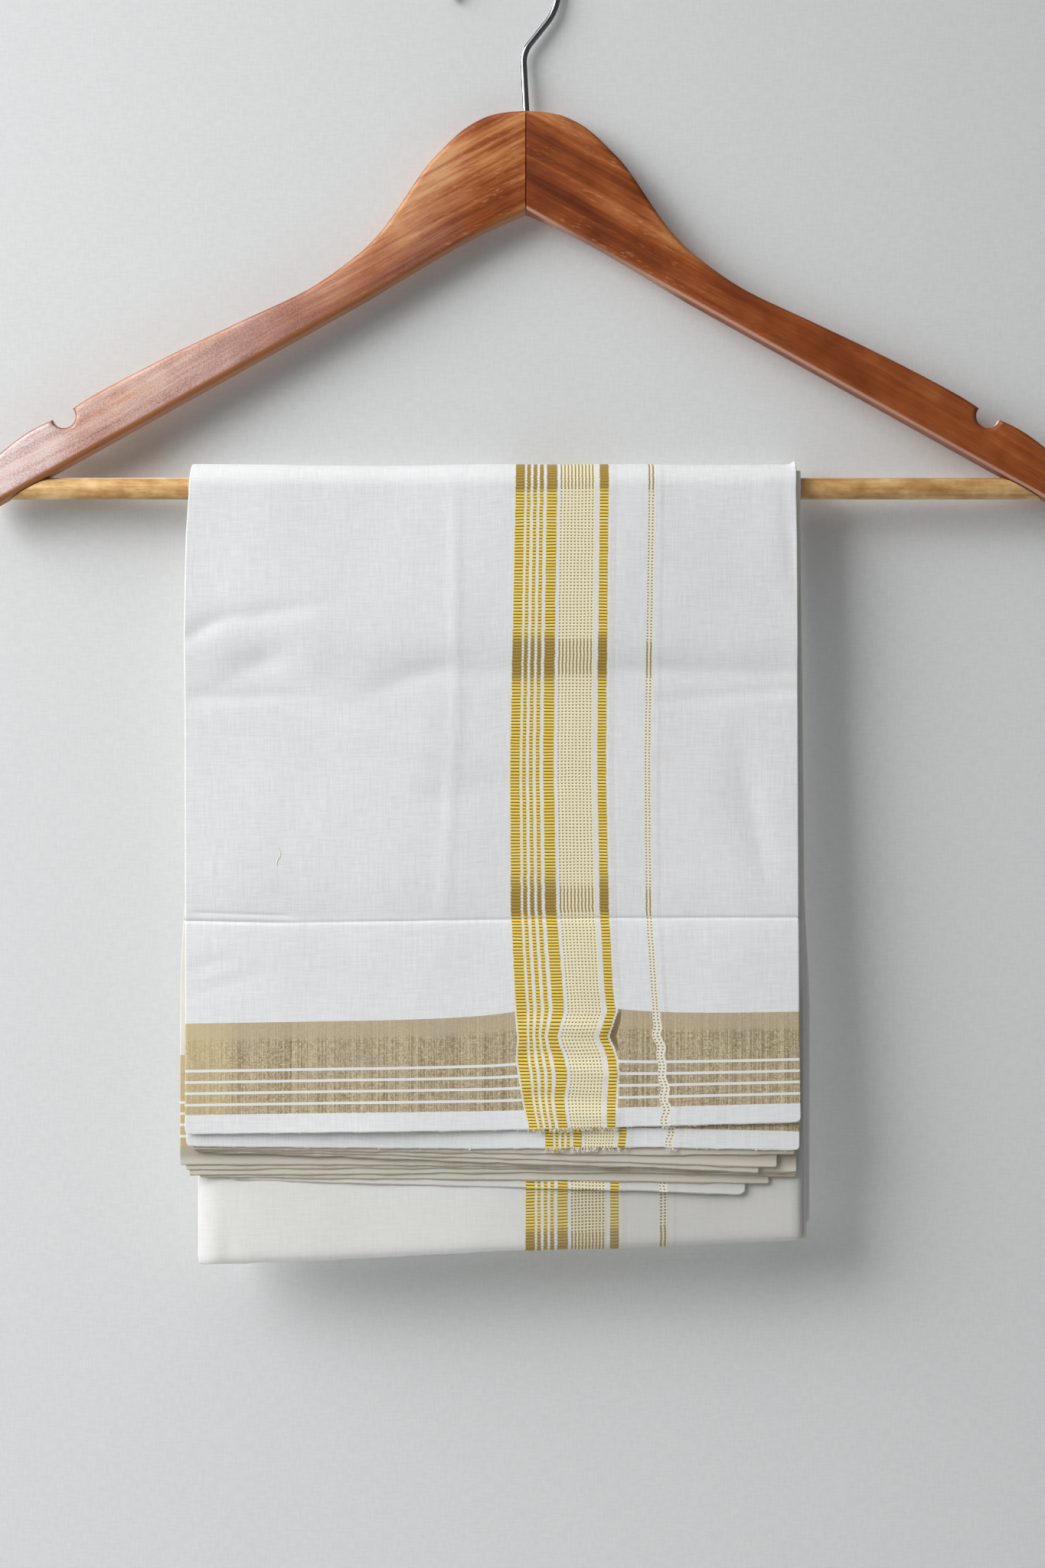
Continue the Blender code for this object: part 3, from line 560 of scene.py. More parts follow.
BACK_CREASES = np.array([
    (-130.0, 172.0, 130.0, 176.5, 1.2, 0.40), (-130.0, 88.0, -70.0, 71.0, 4.5, 0.45),
    (60.0, 66.0, 128.0, 84.0, 4.5, 0.40), (-30.0, 96.0, 40.0, 84.0, 6.0, 0.25),
    (20.0, 240.0, 80.0, 232.0, 6.0, 0.25), (-126.0, 262.0, -80.0, 251.0, 4.0, 0.30),
])
# Slow unevenness of hanging cloth: waves across and down, and how far each stands out
SLOW_WAVES = (
    (0.031, 0.020, 0.4, 0.22), (-0.052, 0.034, 1.9, 0.16), (0.089, 0.011, 3.1, 0.10),
    (0.017, 0.071, 5.0, 0.12), (-0.115, 0.083, 0.9, 0.06), (0.21, 0.06, 2.2, 0.035),
)


def pressed(x, drop, creases):
    """How far the packet's surface stands out at a place, in millimetres."""
    out = np.zeros_like(x)
    for x0, drop0, x1, drop1, half_width, depth in creases:
        run = np.array([x1 - x0, drop1 - drop0])
        length = np.hypot(*run)
        along = ((x - x0) * run[0] + (drop - drop0) * run[1]) / length
        aside = ((x - x0) * run[1] - (drop - drop0) * run[0]) / length
        taper = min(14.0, 0.45 * length) if half_width > 1.5 else 0.6
        ends = np.clip((along + taper) / (2.0 * taper), 0.0, 1.0)
        ends *= np.clip((length + taper - along) / (2.0 * taper), 0.0, 1.0)
        out -= depth * ends * np.exp(-np.abs(aside / half_width) ** 1.4)
    for across, down, phase, height in SLOW_WAVES:
        out += height * np.sin(across * x + down * drop + phase)
    return out


def hem_line(hem, x):
    return np.interp(x, HEM_PLACES, hem)


def weave_place(x, drop, climb, band):
    """A panel point's place in the weave: across from the cross band, up from the selvedge."""
    left, middle, right, line = (read(band, column, drop) for column in (1, 2, 3, 4))
    first = (x - left) / (middle - left) * MIDDLE_PLACE
    second = MIDDLE_PLACE + (x - middle) / (right - middle) * (BAND_WIDTH - MIDDLE_PLACE)
    plain = BAND_WIDTH + (x - right) / (line - right) * (LINE_PLACE - BAND_WIDTH)
    across = np.select([x < left, x < middle, x < right], [x - left, first, second], plain)
    near_line = np.exp(-((x - line) / 3.0) ** 2) * np.clip((46.0 - climb) / 6.0, 0.0, 1.0)
    across = across + LINE_WAVE * near_line * np.sin(climb * math.tau / LINE_WAVE_LENGTH)
    beyond = np.maximum(0.0, np.maximum(left - x, x - right))
    swell = BAND_SWELL * np.exp(-beyond / BAND_SWELL_REACH)
    up = climb - swell * np.clip(climb / BORDER_TOP, 0.0, 1.0) ** 2
    return across, up


class Panel:
    """One panel of the folded cloth: up the front from its hem, over the bar and down the back.

    front_sides and back_sides give its left and right edge at each drop below the bar, and hem
    and bottom the drop of its two ends at HEM_PLACES. Each kind of panel says how far it stands
    out from the packet's inside, in front, behind and over the bar.
    """

    band = FRONT_BAND
    corner = 2.0
    roughness = 0.10

    def shares(self):
        even = np.linspace(0.0, 1.0, self.columns)
        edge = np.array([0.0015, 0.004])
        return np.unique(np.concatenate([even, edge, 1.0 - edge]))

    def stations(self, end):
        """Drops from the bar's middle to the end, closer at the main crease and the hem."""
        even = np.linspace(0.0, end, self.rows)
        close = np.concatenate([np.arange(171.6, 178.6, 0.4), end - np.array([0.25, 0.7, 1.5])])
        return np.unique(np.concatenate([even, close[close < end]]))

    def trimmed(self, line, x, left, right):
        """A hem with rounded corners and the slight unevenness of a woven edge."""
        near = np.minimum(x - left, right - x)
        inside = np.clip(1.0 - near / self.corner, 0.0, 1.0)
        waves = np.random.default_rng(self.seed)
        rough = np.zeros_like(x)
        for wavelength in (31.0, 17.0, 9.0, 5.0):
            phase = waves.uniform(0.0, math.tau)
            rough += np.sin(x * math.tau / wavelength + phase) * waves.uniform(0.4, 1.0)
        return line - self.corner * (1.0 - np.sqrt(1.0 - inside ** 2)) + rough * self.roughness

    def half(self, sides, end, profile, creases):
        """One half, a row for each drop: across, drop, and how far out the packet's inside is."""
        drops = self.stations(max(end))[:, None]
        left, right = read(sides, 1, drops), read(sides, 2, drops)
        x = left + (right - left) * self.shares()
        real = self.trimmed(hem_line(end, x), x, left, right)
        reach = np.clip((drops - HEM_STRETCH_FROM) / (max(end) - HEM_STRETCH_FROM), 0.0, None)
        stretched = HEM_STRETCH_FROM + reach * (real - HEM_STRETCH_FROM)
        drop = np.where(drops > HEM_STRETCH_FROM, stretched, drops)
        return x, drop, read(profile, 1, drop) + pressed(x, drop, creases)

    def grid(self):
        """The outer and inner skin's points, row by row from the hem, and their weave places."""
        front = self.half(self.front_sides, self.hem, front_profile, FRONT_CREASES)
        x, drop, inside = (rows[::-1] for rows in front)
        back_x, back_drop, back_inside = self.half(
            self.back_sides, self.bottom, back_profile, BACK_CREASES
        )
        turn = (np.arange(1, BEND_ROWS) / BEND_ROWS)[:, None]
        x0, x1 = x[-1:], back_x[:1]
        over_x = x0 + (x1 - x0) * turn
        lift = pressed(x0, 0.0 * x0, FRONT_CREASES) * (1.0 - turn)
        lift = lift + pressed(x1, 0.0 * x1, BACK_CREASES) * turn + self.bend_lift(over_x, turn)
        radius = BEND_RADIUS + self.bend_depth() + lift
        turned = math.pi * (BEND_RADIUS + self.bend_depth())
        angle = math.pi * turn
        skins = []
        for behind in (0.0, self.wall):
            depth = inside + self.front_depth(x, drop) - behind
            back_depth = back_inside + self.back_depth(back_x, back_drop) - behind
            r = radius - behind
            skins.append(np.concatenate([
                np.stack([x, -depth, BAR_HEIGHT - drop], -1),
                np.stack([over_x, -r * np.cos(angle), BAR_HEIGHT + r * np.sin(angle)], -1),
                np.stack([back_x, back_depth, BAR_HEIGHT - back_drop], -1),
            ]))
        climb = np.concatenate([
            hem_line(self.hem, x) - drop,
            hem_line(self.hem, x0) + turned * turn,
            hem_line(self.hem, back_x) + turned + back_drop,
        ])
        drop = np.concatenate([drop, -radius * np.sin(angle), -back_drop])
        x = np.concatenate([x, over_x, back_x])
        weave = np.stack(weave_place(x, np.maximum(drop, -15.0), climb, self.band), -1)
        return (*skins, weave)

    def bend_lift(self, x, turn):
        return 0.0 * x * turn


def shell(outer, inner, weave, bm, weave_layer):
    """A closed thin shell between two grids of points, with a rounded rim."""
    rows, columns = outer.shape[:2]
    border = [(0, c) for c in range(columns)] + [(r, columns - 1) for r in range(1, rows)]
    border += [(rows - 1, c) for c in range(columns - 2, -1, -1)]
    border += [(r, 0) for r in range(rows - 2, 0, -1)]
    index = np.array(border)
    wall = np.linalg.norm(outer[0, 0] - inner[0, 0])
    middle = (outer + inner) / 2.0
    push = np.zeros_like(middle)
    push[:, 0] += middle[:, 0] - middle[:, 1]
    push[:, -1] += middle[:, -1] - middle[:, -2]
    push[0] += middle[0] - middle[1]
    push[-1] += middle[-1] - middle[-2]
    rim = middle[index[:, 0], index[:, 1]]
    away = push[index[:, 0], index[:, 1]]
    rim = rim + away / np.linalg.norm(away, axis=1, keepdims=True) * wall * 0.4
    points = np.concatenate([outer.reshape(-1, 3), inner.reshape(-1, 3), rim])
    flat = weave.reshape(-1, 2)
    places = np.concatenate([flat, flat, flat[index[:, 0] * columns + index[:, 1]]])
    first = len(bm.verts)
    for point in points * MM:
        bm.verts.new(point)
    bm.verts.ensure_lookup_table()
    count = rows * columns
    number = np.arange(count).reshape(rows, columns)
    around = [number[:-1, :-1], number[:-1, 1:], number[1:, 1:], number[1:, :-1]]
    quads = np.stack(around, -1).reshape(-1, 4)
    edge = index[:, 0] * columns + index[:, 1]
    nearby = np.roll(edge, -1)
    rim_number = 2 * count + np.arange(len(border))
    rim_next = np.roll(rim_number, -1)
    faces = np.concatenate([
        quads[:, ::-1],
        quads + count,
        np.stack([edge, nearby, rim_next, rim_number], -1),
        np.stack([rim_number, rim_next, nearby + count, edge + count], -1),
    ])
    for corners in faces:
        face = bm.faces.new([bm.verts[first + corner] for corner in corners])
        for loop, corner in zip(face.loops, corners):
            loop[weave_layer].uv = places[corner]


def cotton_piece(name, bm, finish):
    """One smooth piece of cotton or yarn from faces, turned outwards."""
    bmesh.ops.recalc_face_normals(bm, faces=bm.faces)
    for face in bm.faces:
        face.smooth = True
    mesh = bpy.data.meshes.new(name)
    bm.to_mesh(mesh)
    bm.free()
    mesh.materials.append(finish)
    piece = bpy.data.objects.new(name, mesh)
    bpy.context.scene.collection.objects.link(piece)
    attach(piece, "root")
    return piece


def cloth_piece(name, panels, finish):
    """The mesh of one piece of cloth from its panels, each a closed thin shell."""
    bm = bmesh.new()
    weave_layer = bm.loops.layers.uv.new("weave")
    for panel in panels:
        shell(*panel.grid(), bm, weave_layer)
    return cotton_piece(name, bm, finish)


# The weave, in millimetres across from the cross band's left edge and up from the selvedge
GOLD_COLUMNS = ((0.0, 4.1), (13.4, 18.0), (35.5, 39.4))
THIN_COLUMNS = ((4.85, 6.6), (7.6, 9.4), (10.35, 12.2))
DOTTED_FIELD = (19.3, 33.9)
DOUBLE_LINE = (54.7, 57.9)
DOUBLE_SHIFT = 0.85
GHOST_STRIPES = ((40.2, 42.6), (59.8, 61.4))
RIB_PITCH = 1.27
DOT_PITCH = 1.45
BORDER_BOTTOM = 7.6
CORD_LINES = (11.65, 16.3, 20.8, 25.35)
CORD_WIDTH = 1.1
THREAD_PITCH = 0.36
SPECK_CELL = 31.0
# Warmer, darker cotton of the inside thicknesses: partly yellowing and partly painted shade
AGED_SHADED_COTTON = (0.80, 0.765, 0.675)
# Where the back half begins, and where the gold has painted shade at folds: from nothing to full
# and back
BACK_FROM = (500.0, 520.0)
SHADED_FOLDS = (
    (254.0, 256.5, 292.0, 298.0), (176.0, 182.0, 193.0, 199.0), (82.0, 84.5, 91.0, 104.0),
)


# the cotton warmed and darkened: partly yellowing, partly painted shade between the folds
def yellowed_and_shaded(colour, warmth):
    return tuple(tone + (aged - tone) * warmth * 0.8 for tone, aged in zip(colour, AGED_SHADED_COTTON))


def cotton_surface(strand, warmth):
    """Handloomed cotton with its gold: a cross band of ribbed weft and a selvedge border.

    The thicknesses inside the packet are warmer and darker: partly yellowing, partly painted
    shade.
    """
    weave = strand.add("UVMap", {"uv_map": "weave"})
    across, up = (strand.add("SeparateXYZ", None, {0: weave}, axis) for axis in range(2))
    # the warp hangs plumb, also where the cross band is drawn in
    plumb = strand.add("SeparateXYZ", None, {0: strand.add("TexCoord", output=3)}) / MM

    def threads(width, height, detail=2.0, roughness=0.5, run=across):
        """Noise whose grains are so wide and so high, in millimetres."""
        vector = strand.add("CombineXYZ", None, {0: run / width, 1: up / height, 2: 0.0})
        return vector.noise(1.0, detail, roughness)

    def per_step(count):
        """A random tone for each whole number."""
        step = {"W": strand.maths("FLOOR", count)}
        return strand.add("TexWhiteNoise", {"noise_dimensions": "1D"}, step)

    # plain weave
    weft = threads(7.0, 0.46, run=plumb)
    warp = threads(0.46, 8.0, run=plumb)
    slub = threads(9.0, 0.8, 1.0).rise(0.70, 0.80)
    streak_edge = threads(2.4, 40.0, 1.0)
    cloud = threads(22.0, 30.0, 3.0)
    uneven = (threads(24.0, 0.55, 1.0) + threads(0.55, 30.0, 1.0, run=plumb)) * 0.5
    mesh_tone = (weft * 0.5 + warp * 0.5) * 0.64 + uneven * 0.36
    cotton = mesh_tone.rise(0.33, 0.67).blend(
        yellowed_and_shaded((0.755, 0.766, 0.767), warmth), yellowed_and_shaded((0.915, 0.924, 0.923), warmth)
    )
    # painted shade: a brown line along each hem's edge, stronger on the inside thicknesses
    hem_edge_shade = 1.0 - (up + (streak_edge - 0.5) * 0.5).rise(0.15, 0.55)
    # painted shade a few millimetres above each inside hem, where it runs under the layer in front
    painted_hem_shade = (up.rise(1.2, 4.5) * 0.55 + 0.45) * (1.0 - up.rise(9.0, 30.0))
    between_folds = 4.0 * warmth * (1.0 - warmth)
    on_back = up.rise(*BACK_FROM)
    # painted shade on the inner panel's back half, darker towards its right
    painted_shade_right = across.rise(-30.0, 45.0) * on_back * between_folds * 0.36
    cells = strand.add("CombineXYZ", None, {0: across / SPECK_CELL, 1: up / SPECK_CELL, 2: 0.0})
    cell = {"Vector": cells, "Scale": 1.0}
    speck = 1.0 - strand.add("TexVoronoi", None, cell).rise(0.006, 0.013)
    kept = strand.add("SeparateXYZ", None, {0: strand.add("TexVoronoi", None, cell, 1)}) > 0.55
    ghost = sum((across.between(low, high) for low, high in GHOST_STRIPES), across * 0.0)
    ghost_lines = threads(3.0, 0.5, 1.0).rise(0.40, 0.60)
    cotton = coated(
        cotton,
        (cloud * 0.25, yellowed_and_shaded((0.825, 0.835, 0.838), warmth)),
        (slub * 0.20, (0.66, 0.64, 0.60)),
        (painted_hem_shade * warmth, (0.49, 0.44, 0.345)),
        (hem_edge_shade * (0.30 + warmth * 0.5), (0.42, 0.34, 0.235)),
        (speck * kept * 0.75, (0.20, 0.15, 0.10)),
        (ghost * (ghost_lines * 0.18 + 0.10), (0.66, 0.55, 0.52)),
    )

    # cross band: weft of gold thread in ribs, with wavering edges
    wander = (threads(50.0, 4.0, 1.0) - 0.5) * 0.5
    edge = across + wander + (threads(5.0, 0.7, 0.0) - 0.5) * 0.35
    in_band = edge.between(-0.05, BAND_WIDTH)
    jitter = (threads(16.0, 9.0, 1.0) - 0.5) * 0.9
    rib_run = up + jitter + across * 0.02
    rib = rib_run.wave(RIB_PITCH)
    scallop = (rib - 0.6) * 0.42

    def columns(limits):
        """Columns of the band whose edges bulge at each rib and are pinched between two."""
        parts = (((edge + scallop) > low) * ((edge - scallop) < high) for low, high in limits)
        return sum(parts, edge * 0.0)

    gold = columns(GOLD_COLUMNS)
    thin = columns(THIN_COLUMNS)
    row_tone = per_step(rib_run / RIB_PITCH)
    # painted shade: the gold darkened at folds and low on the back half
    painted_fold_shade = sum(
        (up.rise(a, b) * (1.0 - up.rise(c, d)) for a, b, c, d in SHADED_FOLDS), up.rise(598.0, 603.0)
    )
    glint = threads(0.8, 0.35, 1.0).rise(0.5, 0.75)
    # gold ribs: bright ridges with painted glints and dark grooves, partly the yarn and partly
    # painted highlight and shade
    ridge = rib.rise(0.08, 0.46)
    bright = (row_tone * 0.55 + glint * 0.45).blend((0.98, 0.69, 0.080), (1.0, 0.89, 0.32))
    thread_gold = ridge.blend((0.22, 0.125, 0.010), bright)
    thread_gold = (painted_fold_shade * 0.78).blend(thread_gold, (0.32, 0.195, 0.030))

    # dotted field and the double line: cream warp with short dashes of gold between
    in_double = edge.between(*DOUBLE_LINE)
    dash_across = strand.maths("FRACT", (edge + 100.0 - in_double * DOUBLE_SHIFT) / DOT_PITCH)
    dash_run = (dash_across > 0.30 - on_back * 0.07) * (dash_across < on_back * 0.08 + 0.76)
    dash = dash_run * (1.0 - (rib - on_back * 0.26).rise(0.26, 0.46))
    dash = strand.maths("MAXIMUM", dash, painted_fold_shade.rise(0.6, 1.0) * dash_run * 0.8)
    dotted = edge.between(*DOTTED_FIELD) + in_double
    cream = (glint * 0.6).blend((0.95, 0.87, 0.60), (1.0, 0.98, 0.80))
    cream = (in_double * 0.7).blend(cream, (0.90, 0.88, 0.82))
    dots = dash.blend(cream, (0.31, 0.21, 0.055))

    # border: gold warp along the selvedge, crossed by slubby weft, with four raised white cords
    in_border = up.between(BORDER_BOTTOM, BORDER_TOP)
    serrated = (plumb.wave(0.8) - 0.5) * 0.20 + (threads(0.8, 3.0, 1.0, run=plumb) - 0.5) * 0.5
    in_border = in_border * (1.0 - (up + serrated).between(0.0, BORDER_BOTTOM + 0.1))
    band_rope = in_border * (edge + scallop * 0.6).between(-0.6, BAND_WIDTH + 0.6)
    streak = threads(0.36, 1.0, 1.0, 0.6, run=plumb)
    coarse = threads(0.9, 2.6, 1.0, run=plumb)
    shot = threads(4.0, 0.36, 1.0, run=plumb)
    patch = threads(26.0, 16.0, 2.0)
    cluster = threads(9.0, 26.0, 1.0).rise(0.52, 0.70)
    calm = up.rise(BORDER_TOP - 8.5, BORDER_TOP - 5.5)
    thread = per_step(plumb / THREAD_PITCH)
    streak_mask = (streak * 0.42 + coarse * 0.20 + shot * 0.24 + thread * 0.14).rise(0.34, 0.66)
    border_gold = streak_mask.blend((0.27, 0.205, 0.105), (0.73, 0.62, 0.41))
    # painted light: the border brighter and yellower towards the left, where the window light
    # falls
    painted_light_left = 1.0 - (across + patch * 20.0).rise(-122.0, -96.0)
    border_gold = coated(
        border_gold,
        (cluster * (1.0 - streak_mask) * 0.55, (0.22, 0.165, 0.085)),
        (calm * 0.70, (0.58, 0.48, 0.325)),
        (patch.rise(0.45, 0.8) * 0.40, (0.50, 0.405, 0.345)),
        (painted_light_left * 0.5, (0.74, 0.60, 0.32)),
    )
    half_cord = CORD_WIDTH / 2.0
    cords = sum((up.between(line - half_cord, line + half_cord) for line in CORD_LINES), up * 0.0)
    twist = (plumb + up * 1.4).wave(0.9)
    cord_white = twist.blend((0.84, 0.835, 0.81), (0.93, 0.925, 0.91))
    border = cords.blend(border_gold, cord_white)

    in_gold = strand.maths("MINIMUM", gold + thin, 1.0)
    band_cotton = (weft * 0.5 + warp * 0.5).blend((0.76, 0.77, 0.78), (0.88, 0.89, 0.90))
    band = in_gold.blend(dotted.blend(band_cotton, dots), thread_gold)
    colour = in_border.blend(cotton, border)
    # painted shadow in the deep pucker right of the band
    pucker_shadow_across = (across - (BAND_WIDTH + 1.7)) / 1.5
    pucker_shadow_up = (up - 37.0) / 8.5
    pucker_shadow = 1.0 - (pucker_shadow_across * pucker_shadow_across + pucker_shadow_up * pucker_shadow_up).rise(0.45, 1.0)
    pucker_shadow = pucker_shadow * in_border
    colour = (pucker_shadow * 0.85).blend(colour, (0.19, 0.115, 0.045))
    in_any_band = strand.maths("MAXIMUM", in_band, band_rope)
    in_any_band = strand.maths("MAXIMUM", in_any_band, in_double)
    colour = in_any_band.blend(colour, band)
    colour = painted_shade_right.blend(colour, (0.33, 0.315, 0.275))

    shiny = strand.maths(
        "MAXIMUM",
        in_gold * in_band * (0.08 + glint * ridge * 0.20),
        in_border * (1.0 - cords) * (1.0 - in_any_band) * 0.10,
    )
    height = weft * 0.10 + warp * 0.10 + slub * 0.15
    height = height + in_band * 0.5 + (in_gold + dotted * 0.5) * in_band * (rib * 0.9)
    raised = streak * 0.35 + cords * 0.9 + cords * twist * 0.3
    height = height + in_border * (1.0 - in_any_band) * raised
    return {
        "Base Color": colour,
        "Metallic": shiny,
        "Roughness": 0.92 - shiny * 0.62,
        "Normal": height.bump(0.7, 0.00022),
    }


COTTON_SHEEN = {"Sheen Weight": 0.12, "Sheen Roughness": 0.5}
dhoti_cotton = make_finish("handloom_cotton", cotton_surface, COTTON_SHEEN, 0.0)
# the inside thicknesses: a warmer, darker copy, partly yellowing and partly painted shade
inner_cotton = make_finish("handloom_cotton_inside", cotton_surface, COTTON_SHEEN, 0.5)


# Below the hems this panel swells forward between its folds: how far, and how wide its soft sides
# and its bottom fold are
PILLOW_DEPTH = 2.4
PILLOW_REACH = 11.0
FLAT_SIDE_REACH = 2.5
FOLD_REACH = 4.0


class InnerPanel(Panel):
    front_sides = np.array([
        (0.0, -124.6, 120.0), (40.0, -122.0, 112.0), (80.0, -113.0, 97.7), (350.0, -113.0, 97.7),
    ])
    back_sides = np.array([(0.0, -125.0, 120.0), (150.0, -125.2, 121.6), (350.0, -125.6, 121.8)])
    hem = (280.9, 283.0, 284.6, 286.2, 288.8)
    bottom = (316.9, 314.6, 311.2, 309.6, 306.6)
    wall, columns, rows, corner, seed = 0.3, 90, 120, 3.0, 5
    band = INNER_BAND

    def front_depth(self, x, drop):
        return 0.9 / 5.0 * hidden_at(drop)

    def bend_depth(self):
        return 0.45

    def back_depth(self, x, drop):
        level = 0.45 + 0.45 * np.clip(drop / 20.0, 0.0, 1.0)
        below = np.clip((drop - 262.0) / 18.0, 0.0, 1.0)
        from_left = np.clip((x + 125.6) / PILLOW_REACH, 0.0, 1.0)
        from_right = np.clip((121.8 - x) / FLAT_SIDE_REACH, 0.0, 1.0)
        from_fold = np.clip((hem_line(self.bottom, x) - drop) / FOLD_REACH, 0.0, 1.0)
        sides = (1.0 - (1.0 - from_left) ** 2.3) * (1.0 - (1.0 - from_right) ** 2.3)
        fold = 1.0 - 0.62 * (1.0 - from_fold) ** 2.3
        dent = np.exp(-((x + 113.0) / 3.0) ** 2) * np.exp(-((drop - 312.0) / 9.0) ** 2)
        return level - PILLOW_DEPTH * below * sides * fold + 0.5 * dent


inner_cloth = cloth_piece("inner_panel_cloth", [InnerPanel()], inner_cotton)
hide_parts("inner_panel")

# Hidden folds: the middle thicknesses of the packet, the same cotton, folded to and fro to the
# panel's width. Their selvedges step past each other at the front hem, and their folds show at
# both sides.

# Front to back: how far each stands out at the hem, its left and right edges, how far its fold
# juts out near the bar, and its lower edge at the five places
LEAVES = (
    (5.0, -126.9, 117.4, 0.3, (268.7, 269.5, 270.4, 271.1, 270.7)),
    (4.5, -126.4, 110.3, -0.5, (269.3, 270.6, 272.5, 274.4, 276.6)),
    (4.0, -125.4, 102.9, 0.2, (269.9, 271.8, 274.5, 276.2, 279.2)),
    (2.8, -132.2, 118.5, -0.2, (275.3, 275.3, 276.1, 277.1, 278.4)),
    (2.3, -129.9, 118.3, 0.4, (277.5, 276.8, 277.0, 277.9, 279.2)),
    (1.9, -128.6, 118.1, -0.6, (279.6, 279.4, 278.7, 278.7, 280.2)),
    (1.4, -124.4, 107.2, 0.0, (280.5, 281.1, 281.6, 282.3, 283.5)),
)
# A left edge past this one peeks out from behind the outer layers
PEEKS_OUT = -131.0
HIDDEN_BOTTOM = (313.4, 311.0, 308.4, 306.4, 304.0)
FAR_BAND = np.array([(-20.0, 400.0, 420.0, 440.0, 460.0), (350.0, 400.0, 420.0, 440.0, 460.0)])


class Leaf(Panel):
    wall, columns, rows, corner, roughness = 0.2, 44, 38, 0.8, 0.20
    band = FAR_BAND

    def __init__(self, **measures):
        vars(self).update(measures)

    def front_depth(self, x, drop):
        return self.out / 5.0 * hidden_at(drop)

    def bend_depth(self):
        return self.out / 2.0

    def back_depth(self, x, drop):
        below = 1.5 + (self.out - 1.4) / 3.6 * 1.5
        return self.out / 2.0 + (below - self.out / 2.0) * np.clip(drop / 20.0, 0.0, 1.0)


leaves = []
for number, (out, left, right, jut, hem) in enumerate(LEAVES):
    if left < PEEKS_OUT:
        front_sides = np.array([
            (0.0, -127.0, 118.4), (158.0, -128.6, right), (168.0, -130.4, right),
            (190.0, left + 0.4, right), (206.0, left, right), (350.0, left, right),
        ])
    else:
        front_sides = np.array([
            (0.0, -126.4 + jut, 119.4 + jut), (50.0, -126.6 + jut, 118.6 + jut),
            (110.0, left, right), (350.0, left, right),
        ])
    back_sides = np.array([
        (0.0, -125.8 + jut, 120.4 + jut), (80.0, -125.6 - jut, 121.2 + jut * 0.8),
        (200.0, -125.4 - jut, 122.2 + jut), (350.0, -125.2 + jut * 0.5, 122.8 + jut),
    ])
    share = number / (len(LEAVES) - 1)
    bottom = [low + (high - low) * share for low, high in zip(HIDDEN_BOTTOM, InnerPanel.bottom)]
    leaves.append(Leaf(
        front_sides=front_sides, back_sides=back_sides, hem=hem, bottom=bottom, out=out,
        seed=11 + number,
    ))
# the hidden folds: the warmest, darkest copy, partly yellowing and partly painted shade
folded_cotton = make_finish("handloom_cotton_folds", cotton_surface, COTTON_SHEEN, 1.0)
hidden_cloth = cloth_piece("hidden_folds_cloth", leaves, folded_cotton)
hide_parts("hidden_layers", "hem_leaves")

# Second layer: the thickness under the outer one, the same cotton with the same band and border.
# Its hem hangs a little lower, so that a thin line of its gold and its white selvedge show.

SECOND_BAND = np.array([
    (-15.0, 9.0, 25.4, 45.0, 61.6), (200.0, 9.0, 25.4, 45.0, 62.0),
    (240.0, 13.0, 28.8, 47.6, 65.4), (262.0, 16.2, 31.4, 49.4, 67.2),
    (270.0, 16.2, 31.0, 48.2, 66.2), (350.0, 16.2, 31.0, 48.2, 66.2),
])


class SecondLayer(Panel):
    front_sides = np.array([
        (0.0, -128.0, 117.4), (158.0, -128.7, 118.2),
        (206.0, -129.2, 118.9), (350.0, -129.4, 120.0),
    ])
    back_sides = np.array([
        (0.0, -126.4, 118.8), (60.0, -125.8, 121.0),
        (165.0, -125.4, 122.0), (350.0, -125.0, 123.2),
    ])
    hem = (267.3, 267.9, 268.4, 267.6, 269.0)
    bottom = (311.4, 309.0, 306.4, 304.4, 302.2)
    wall, columns, rows, seed = 0.4, 90, 110, 23
    band = SECOND_BAND

    def front_depth(self, x, drop):
        return hidden_at(drop) + 1.0

    def bend_depth(self):
        return 3.5

    def back_depth(self, x, drop):
        return 3.5 + 0.2 * np.clip(drop / 20.0, 0.0, 1.0)


second_layer = SecondLayer()
second_cloth = cloth_piece("second_layer_cloth", [second_layer], dhoti_cotton)
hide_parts("second_layer")

# Outer layer: the outermost thickness, the same cotton, from the front hem up over the bar and
# down the back. Its cross band is drawn in by the border and ripples there, and is cut and frays
# at the hem.


